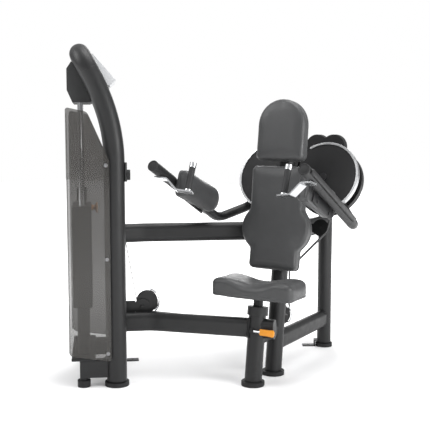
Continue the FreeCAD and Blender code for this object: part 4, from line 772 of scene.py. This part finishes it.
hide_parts("selector_pin")


# Seat lever: black hub, chrome rod and a rounded amber paddle

POST_LEAN = PAD_UP
POST_BACK = Vector((0.0, cos(LEAN), -sin(LEAN)))
LEVER_LEVEL = 0.280
LEVER_OUT = 0.0517
HUB_RADIUS, HUB_LENGTH = 0.014, 0.014
HUB_BORE = 0.0045
ROD_RADIUS, COLLAR_RADIUS, COLLAR_HALF = 0.0055, 0.0075, 0.004
ROD_STEP = 0.001
PADDLE_START, PADDLE_END = 0.044, 0.128
PADDLE_WIDTH, PADDLE_THICKNESS = 0.040, 0.011
PADDLE_WAIST, PADDLE_FLARE = 0.003, 0.03
PADDLE_LOW_CORNER, PADDLE_HIGH_CORNER = 0.010, 0.014
PADDLE_SWELL = 0.25
PADDLE_LAYERS = [(-1.0, 0.0045), (-0.8, 0.0016), (-0.35, 0.0), (0.35, 0.0), (0.8, 0.0016), (1.0, 0.0045)]


def in_post(out, level):
    """A place on the front post's middle plane: out is towards the front, level is up the lean."""
    return POST_LEAN * level - POST_BACK * out


def paddle_half(level):
    return PADDLE_WIDTH / 2 - PADDLE_WAIST + PADDLE_FLARE * (level - PADDLE_START)


def paddle_mesh():
    """A flat thumb paddle, wider and thicker at its outer end, with a soft rounded edge."""
    outline = pad_outline(paddle_half, PADDLE_START, PADDLE_END, PADDLE_LOW_CORNER, PADDLE_HIGH_CORNER,
                          steps=24)
    centre = Vector((0.0, (PADDLE_START + PADDLE_END) / 2))
    rings = []
    for height, inset in PADDLE_LAYERS:
        ring = []
        for x, y in outline:
            away = Vector((x, y)) - centre
            away *= 1.0 - inset / away.length
            swell = 1.0 + PADDLE_SWELL * (y - PADDLE_START) / (PADDLE_END - PADDLE_START)
            ring.append((away.x, away.y + centre.y, height * PADDLE_THICKNESS / 2 * swell))
        rings.append(ring)
    return stacked("lever_paddle", rings)


lever_frame = axes(in_post(LEVER_OUT, LEVER_LEVEL), POST_LEAN, X_AXIS, POST_LEAN.cross(X_AXIS))
paddle = placed("lever_paddle", paddle_mesh(), "amber", "lever_body", lever_frame, smooth=60.0)
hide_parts("seat_lever")
rod_profile = [(0.0, 0.0), (ROD_RADIUS, 0.0), (ROD_RADIUS, PADDLE_START - COLLAR_HALF),
               (COLLAR_RADIUS, PADDLE_START - COLLAR_HALF + ROD_STEP),
               (COLLAR_RADIUS, PADDLE_START + COLLAR_HALF), (0.0, PADDLE_START + COLLAR_HALF)]
placed("lever_rod", turned("lever_rod", rod_profile, steps=28), "handle_chrome", "lever_body",
       along(in_post(LEVER_OUT, LEVER_LEVEL), X_AXIS, Z_AXIS))
hub_profile = [(0.0, 0.0), (HUB_RADIUS, 0.0), (HUB_RADIUS, HUB_LENGTH * 0.7),
               (HUB_RADIUS * 0.88, HUB_LENGTH * 0.92), (HUB_RADIUS * 0.7, HUB_LENGTH), (HUB_BORE, HUB_LENGTH),
               (HUB_BORE - 0.0005, HUB_LENGTH * 0.8), (0.0, HUB_LENGTH * 0.8)]
placed("lever_hub", turned("lever_hub", hub_profile, steps=36), "cover_dark", "lever_body",
       along(in_post(LEVER_OUT - HUB_LENGTH / 2, LEVER_LEVEL), -POST_BACK, X_AXIS))


# Ends and bolts of the swinging arms

ARM_TIP = (0.251, -0.214, 0.764)
ARM_BEND = (0.250, -0.285, 0.070)
ARM_SLEEVE_RADIUS = 0.0285
CAP_DEPTH = 0.006
CAP_GAP = 0.0003
PAD_BOLT_RADIUS, PAD_BOLT_HEIGHT = 0.0085, 0.005
PAD_BOLT_SPREAD = 0.055
cap_profile = [(0.0, 0.0), (ARM_SLEEVE_RADIUS - 0.0004, 0.0), (ARM_SLEEVE_RADIUS - 0.0004, CAP_DEPTH * 0.5),
               (ARM_SLEEVE_RADIUS - 0.0020, CAP_DEPTH * 0.9), (ARM_SLEEVE_RADIUS - 0.0050, CAP_DEPTH),
               (ARM_SLEEVE_RADIUS - 0.0065, CAP_DEPTH * 0.75),
               (ARM_SLEEVE_RADIUS - 0.0085, CAP_DEPTH * 0.72),
               (ARM_SLEEVE_RADIUS - 0.0110, CAP_DEPTH * 0.9), (0.0, CAP_DEPTH * 1.15)]
pad_bolt = button_head("pad_bolt", PAD_BOLT_RADIUS, PAD_BOLT_HEIGHT)
for word, side in SIDES.items():
    arm = word + "_arm_body"
    tip, bend = in_pivot(side, *ARM_TIP), in_pivot(side, *ARM_BEND)
    placed(word + "_arm_cap", turned(word + "_arm_cap", cap_profile), "rubber_black", arm,
           along(tip + (tip - bend).normalized() * CAP_GAP, tip - bend))
    plate_low, plate_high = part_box(word + "_pad_plate")
    outer = max(abs(plate_low.x), abs(plate_high.x))
    stands = []
    for reach in (-PAD_BOLT_SPREAD, PAD_BOLT_SPREAD):
        spot = in_pivot(side, 0.0, ARM_PAD_V, ARM_PAD_W + reach)
        spot.x = side * outer
        stands.append((pad_bolt, along(spot, X_AXIS * side, Z_AXIS)))
    placed(word + "_pad_bolts", joined(word + "_pad_bolts", stands), "bolt_steel", arm,
           finish="bolt_bright")


# Wire guards that keep the belt on the base pulley and the rear pulley

GUARD_WIRE = 0.0035
WIRE_SIDES, WIRE_STEPS = 10, 28


def pulley_guard(name, node, reach, start, end, spread):
    """Two bent wires round a pulley's rim, joined by a short bar at each end."""
    low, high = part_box(node)
    centre = (low + high) / 2
    lines = []
    for side in (-spread, spread):
        lines.append(arc_line(centre + TOWER_ACROSS * side, TOWER_OUT, Z_AXIS, reach, start, end, WIRE_STEPS))
    lines += [[lines[0][index], lines[1][index]] for index in (0, -1)]
    parts = [(swept(name, line, GUARD_WIRE, WIRE_SIDES), Matrix.Identity(4)) for line in lines]
    return placed(name, joined(name, parts), "rod_chrome", "frame", smooth=60.0)


pulley_guard("base_pulley_guard", "guide_pulley", reach=0.066, start=-50.0, end=75.0, spread=0.020)
pulley_guard("rear_pulley_guard", "rear_pulley", reach=0.064, start=-40.0, end=60.0, spread=0.018)


# Swinging arms: the hub is the CAD solid cut short, and the tube, sleeve and side bar are made here

def rounded_line(corners, radius, steps=12):
    """Points along a route whose inner corners are arcs of one radius."""
    line = [corners[0]]
    for before, corner, after in zip(corners, corners[1:], corners[2:]):
        a, b = (before - corner).normalized(), (after - corner).normalized()
        half = a.angle(b) / 2
        reach = radius / tan(half)
        centre = corner + (a + b).normalized() * (radius / sin(half))
        first = (corner + a * reach - centre).normalized()
        last = (corner + b * reach - centre).normalized()
        for i in range(steps + 1):
            line.append(centre + first.slerp(last, i / steps) * radius)
    return line + [corners[-1]]


def soft_plate(name, outline, thickness, edge, steps=3):
    """A flat plate with all its edges rounded, standing on its own middle plane."""
    flat = [Vector(p) for p in outline]
    ways = []
    for i in range(len(flat)):
        run = (flat[(i + 1) % len(flat)] - flat[i - 1]).normalized()
        ways.append(Vector((-run.y, run.x)))
    turns = [pi / 2 * i / steps for i in range(steps + 1)]
    layers = [(-thickness / 2 + edge * (1 - sin(a)), edge * (1 - cos(a))) for a in reversed(turns)]
    layers += [(thickness / 2 - edge * (1 - sin(a)), edge * (1 - cos(a))) for a in turns]
    rings = []
    for z, inset in layers:
        rings.append([(p.x + way.x * inset, p.y + way.y * inset, z) for p, way in zip(flat, ways)])
    return stacked(name, rings)


def kept_below(name, node, place, normal):
    """The part of a CAD node's mesh behind a plane, closed at the cut."""
    work = bmesh.new()
    work.from_mesh(NODES[node].data)
    bmesh.ops.remove_doubles(work, verts=work.verts, dist=CLOSE)
    everything = work.verts[:] + work.edges[:] + work.faces[:]
    cut = bmesh.ops.bisect_plane(work, geom=everything, plane_co=place, plane_no=normal, clear_outer=True)
    edges = [item for item in cut["geom_cut"] if isinstance(item, bmesh.types.BMEdge)]
    bmesh.ops.holes_fill(work, edges=edges, sides=0)
    mesh = bpy.data.meshes.new(name)
    work.to_mesh(mesh)
    work.free()
    return mesh


ARM_ROOT = (0.132, -0.168, -0.0545)
ARM_HUB = (0.0, 0.0, -0.0545)
ARM_TUBE_RADIUS = 0.0256
ARM_BEND_RADIUS = 0.095
ARM_CUT = -0.024
SLEEVE_LENGTH = 0.190
BAR_LENGTH, BAR_HEIGHT, BAR_THICKNESS = 0.600, 0.026, 0.012
BAR_OFFSET, BAR_START = 0.0315, 0.014
BAR_CORNER, BAR_EDGE = 0.007, 0.0025
sleeve_profile = [(0.0, -SLEEVE_LENGTH), (0.0262, -SLEEVE_LENGTH), (0.0276, -SLEEVE_LENGTH + 0.0015),
                  (0.0278, -SLEEVE_LENGTH + 0.010), (0.0270, -SLEEVE_LENGTH + 0.0115),
                  (0.0270, -SLEEVE_LENGTH + 0.0130), (0.0283, -SLEEVE_LENGTH + 0.0145),
                  (ARM_SLEEVE_RADIUS, -SLEEVE_LENGTH + 0.017), (ARM_SLEEVE_RADIUS, -0.0015),
                  (ARM_SLEEVE_RADIUS - 0.0012, 0.0), (0.0, 0.0)]


def bar_half(level):
    """Half the bar's height, with the outline's own pull taken back so that its edges are straight."""
    return BAR_HEIGHT / 2 + PULL * sin(pi * level / BAR_LENGTH)


bar_outline = pad_outline(bar_half, 0.0, BAR_LENGTH, BAR_CORNER, BAR_CORNER, steps=16)
for word, side in SIDES.items():
    arm = word + "_arm_body"
    corners = [in_pivot(side, *spot) for spot in (ARM_TIP, ARM_BEND, ARM_ROOT, ARM_HUB)]
    tip, bend = corners[:2]
    back = (bend - tip).normalized()
    hub_mesh = kept_below(word + "_arm_hub", word + "_arm", in_pivot(side, 0.0, 0.0, ARM_CUT), PIVOT_FORWARD)
    hub = placed(word + "_arm_hub", hub_mesh, "frame_paint", arm)
    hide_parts(word + "_arm")
    tube = swept(word + "_arm_tube", rounded_line(corners, ARM_BEND_RADIUS), ARM_TUBE_RADIUS, sides=40)
    placed(word + "_arm_tube", tube, "frame_paint", arm, smooth=50.0)
    placed(word + "_arm_sleeve", turned(word + "_arm_sleeve", sleeve_profile), "frame_paint", arm,
           along(tip, -back))
    outward = X_AXIS * side
    upright = outward.cross(back)
    bar_place = axes(tip + back * BAR_START + outward * BAR_OFFSET, upright, back, upright.cross(back))
    placed(word + "_side_bar", soft_plate(word + "_side_bar", bar_outline, BAR_THICKNESS, BAR_EDGE),
           "frame_paint", arm, bar_place, smooth=50.0)


# Studio

SKY_LIGHT = [(0.0, 0.60), (0.46, 0.30), (0.56, 0.36), (0.78, 0.75), (1.0, 1.05)]
SKY_BLUE_SHARE = 1.01


def studio_world():
    """A white backdrop, lit by a dome that is brightest overhead and darkest at the horizon."""
    world = bpy.data.worlds.new("studio")
    scene.world = world
    world.use_nodes = True
    sky = world.node_tree
    backdrop = sky.nodes["Background"]
    backdrop.inputs["Color"].default_value = (1.0, 1.0, 1.0, 1.0)
    backdrop.inputs["Strength"].default_value = 1.0
    dome_light = sky.nodes.new("ShaderNodeBackground")
    heading = sky.nodes.new("ShaderNodeTexCoord")
    axis_parts = sky.nodes.new("ShaderNodeSeparateXYZ")
    height = sky.nodes.new("ShaderNodeMapRange")
    height.inputs["From Min"].default_value = -1.0
    shades = sky.nodes.new("ShaderNodeValToRGB")
    while len(shades.color_ramp.elements) < len(SKY_LIGHT):
        shades.color_ramp.elements.new(0.5)
    for stop, (position, level) in zip(shades.color_ramp.elements, SKY_LIGHT):
        stop.position = position
        stop.color = (level, level, level * SKY_BLUE_SHARE, 1.0)
    seen = sky.nodes.new("ShaderNodeLightPath")
    choice = sky.nodes.new("ShaderNodeMixShader")
    sky.links.new(heading.outputs["Generated"], axis_parts.inputs[0])
    sky.links.new(axis_parts.outputs["Z"], height.inputs["Value"])
    sky.links.new(height.outputs["Result"], shades.inputs["Fac"])
    sky.links.new(shades.outputs["Color"], dome_light.inputs["Color"])
    sky.links.new(seen.outputs["Is Camera Ray"], choice.inputs["Fac"])
    sky.links.new(dome_light.outputs["Background"], choice.inputs[1])
    sky.links.new(backdrop.outputs["Background"], choice.inputs[2])
    sky.links.new(choice.outputs["Shader"], sky.nodes["World Output"].inputs["Surface"])


studio_world()
scene.view_settings.view_transform = "Standard"

FLOOR_HALF = 14.0
FLOOR_WHITE = 0.92
FLOOR_GLOW = 0.05
GLOW_START, GLOW_END = 1.0, 2.6


def studio_floor():
    """A pale floor whose own glow grows with distance, so that it meets the backdrop without an edge."""
    shader = Shader("studio_floor")
    shader.mottled((FLOOR_WHITE, FLOOR_WHITE, FLOOR_WHITE), scale=0.4, spread=0.01)
    shader.roughness(0.7, 0.85, scale=2.0)
    shader.set(Specular_IOR_Level=0.1, Emission_Color=(1.0, 1.0, 1.0, 1.0))
    from_middle = shader.node("ShaderNodeVectorMath", operation="LENGTH")
    shader.link(shader.place, from_middle.inputs[0])
    glow = shader.ranged(from_middle.outputs["Value"], FLOOR_GLOW, 1.0, GLOW_START, GLOW_END)
    shader.link(glow, shader.bsdf.inputs["Emission Strength"])
    corners = [(FLOOR_HALF * x, FLOOR_HALF * y, 0.0) for x, y in ((-1, -1), (1, -1), (1, 1), (-1, 1))]
    floor = bpy.data.objects.new("studio_floor", mesh_from("studio_floor", corners, [(0, 1, 2, 3)]))
    floor.data.materials.append(shader.material)
    scene.collection.objects.link(floor)
    return floor


studio_floor()


def softbox(name, location, target, size, power):
    """A rectangular light that faces its target."""
    light = bpy.data.lights.new(name, "AREA")
    light.shape = "RECTANGLE"
    light.size, light.size_y = size
    light.energy = power
    lamp = bpy.data.objects.new(name, light)
    scene.collection.objects.link(lamp)
    lamp.matrix_world = along(Vector(location), Vector(location) - Vector(target))


MIDDLE = (0.0, 0.2, 0.8)
softbox("key_light", (-2.9, -2.6, 3.4), MIDDLE, (1.8, 2.2), 80.0)
softbox("top_light", (0.3, 0.2, 4.4), MIDDLE, (2.6, 2.6), 95.0)
softbox("right_light", (3.9, -0.2, 1.7), MIDDLE, (1.1, 2.8), 110.0)
softbox("back_light", (-2.2, 3.8, 2.6), MIDDLE, (1.6, 2.4), 60.0)

CAMERA_PLACE = (1.908, -3.526, 1.276)
CAMERA_TURN = (radians(84.3), 0.0, radians(31.2))
FOCAL_MM = 66.98
SENSOR_MM = 36.0
lens = bpy.data.cameras.new("camera")
lens.lens = FOCAL_MM
lens.sensor_width = SENSOR_MM
camera = bpy.data.objects.new("camera", lens)
camera.location = CAMERA_PLACE
camera.rotation_euler = CAMERA_TURN
scene.collection.objects.link(camera)
scene.camera = camera
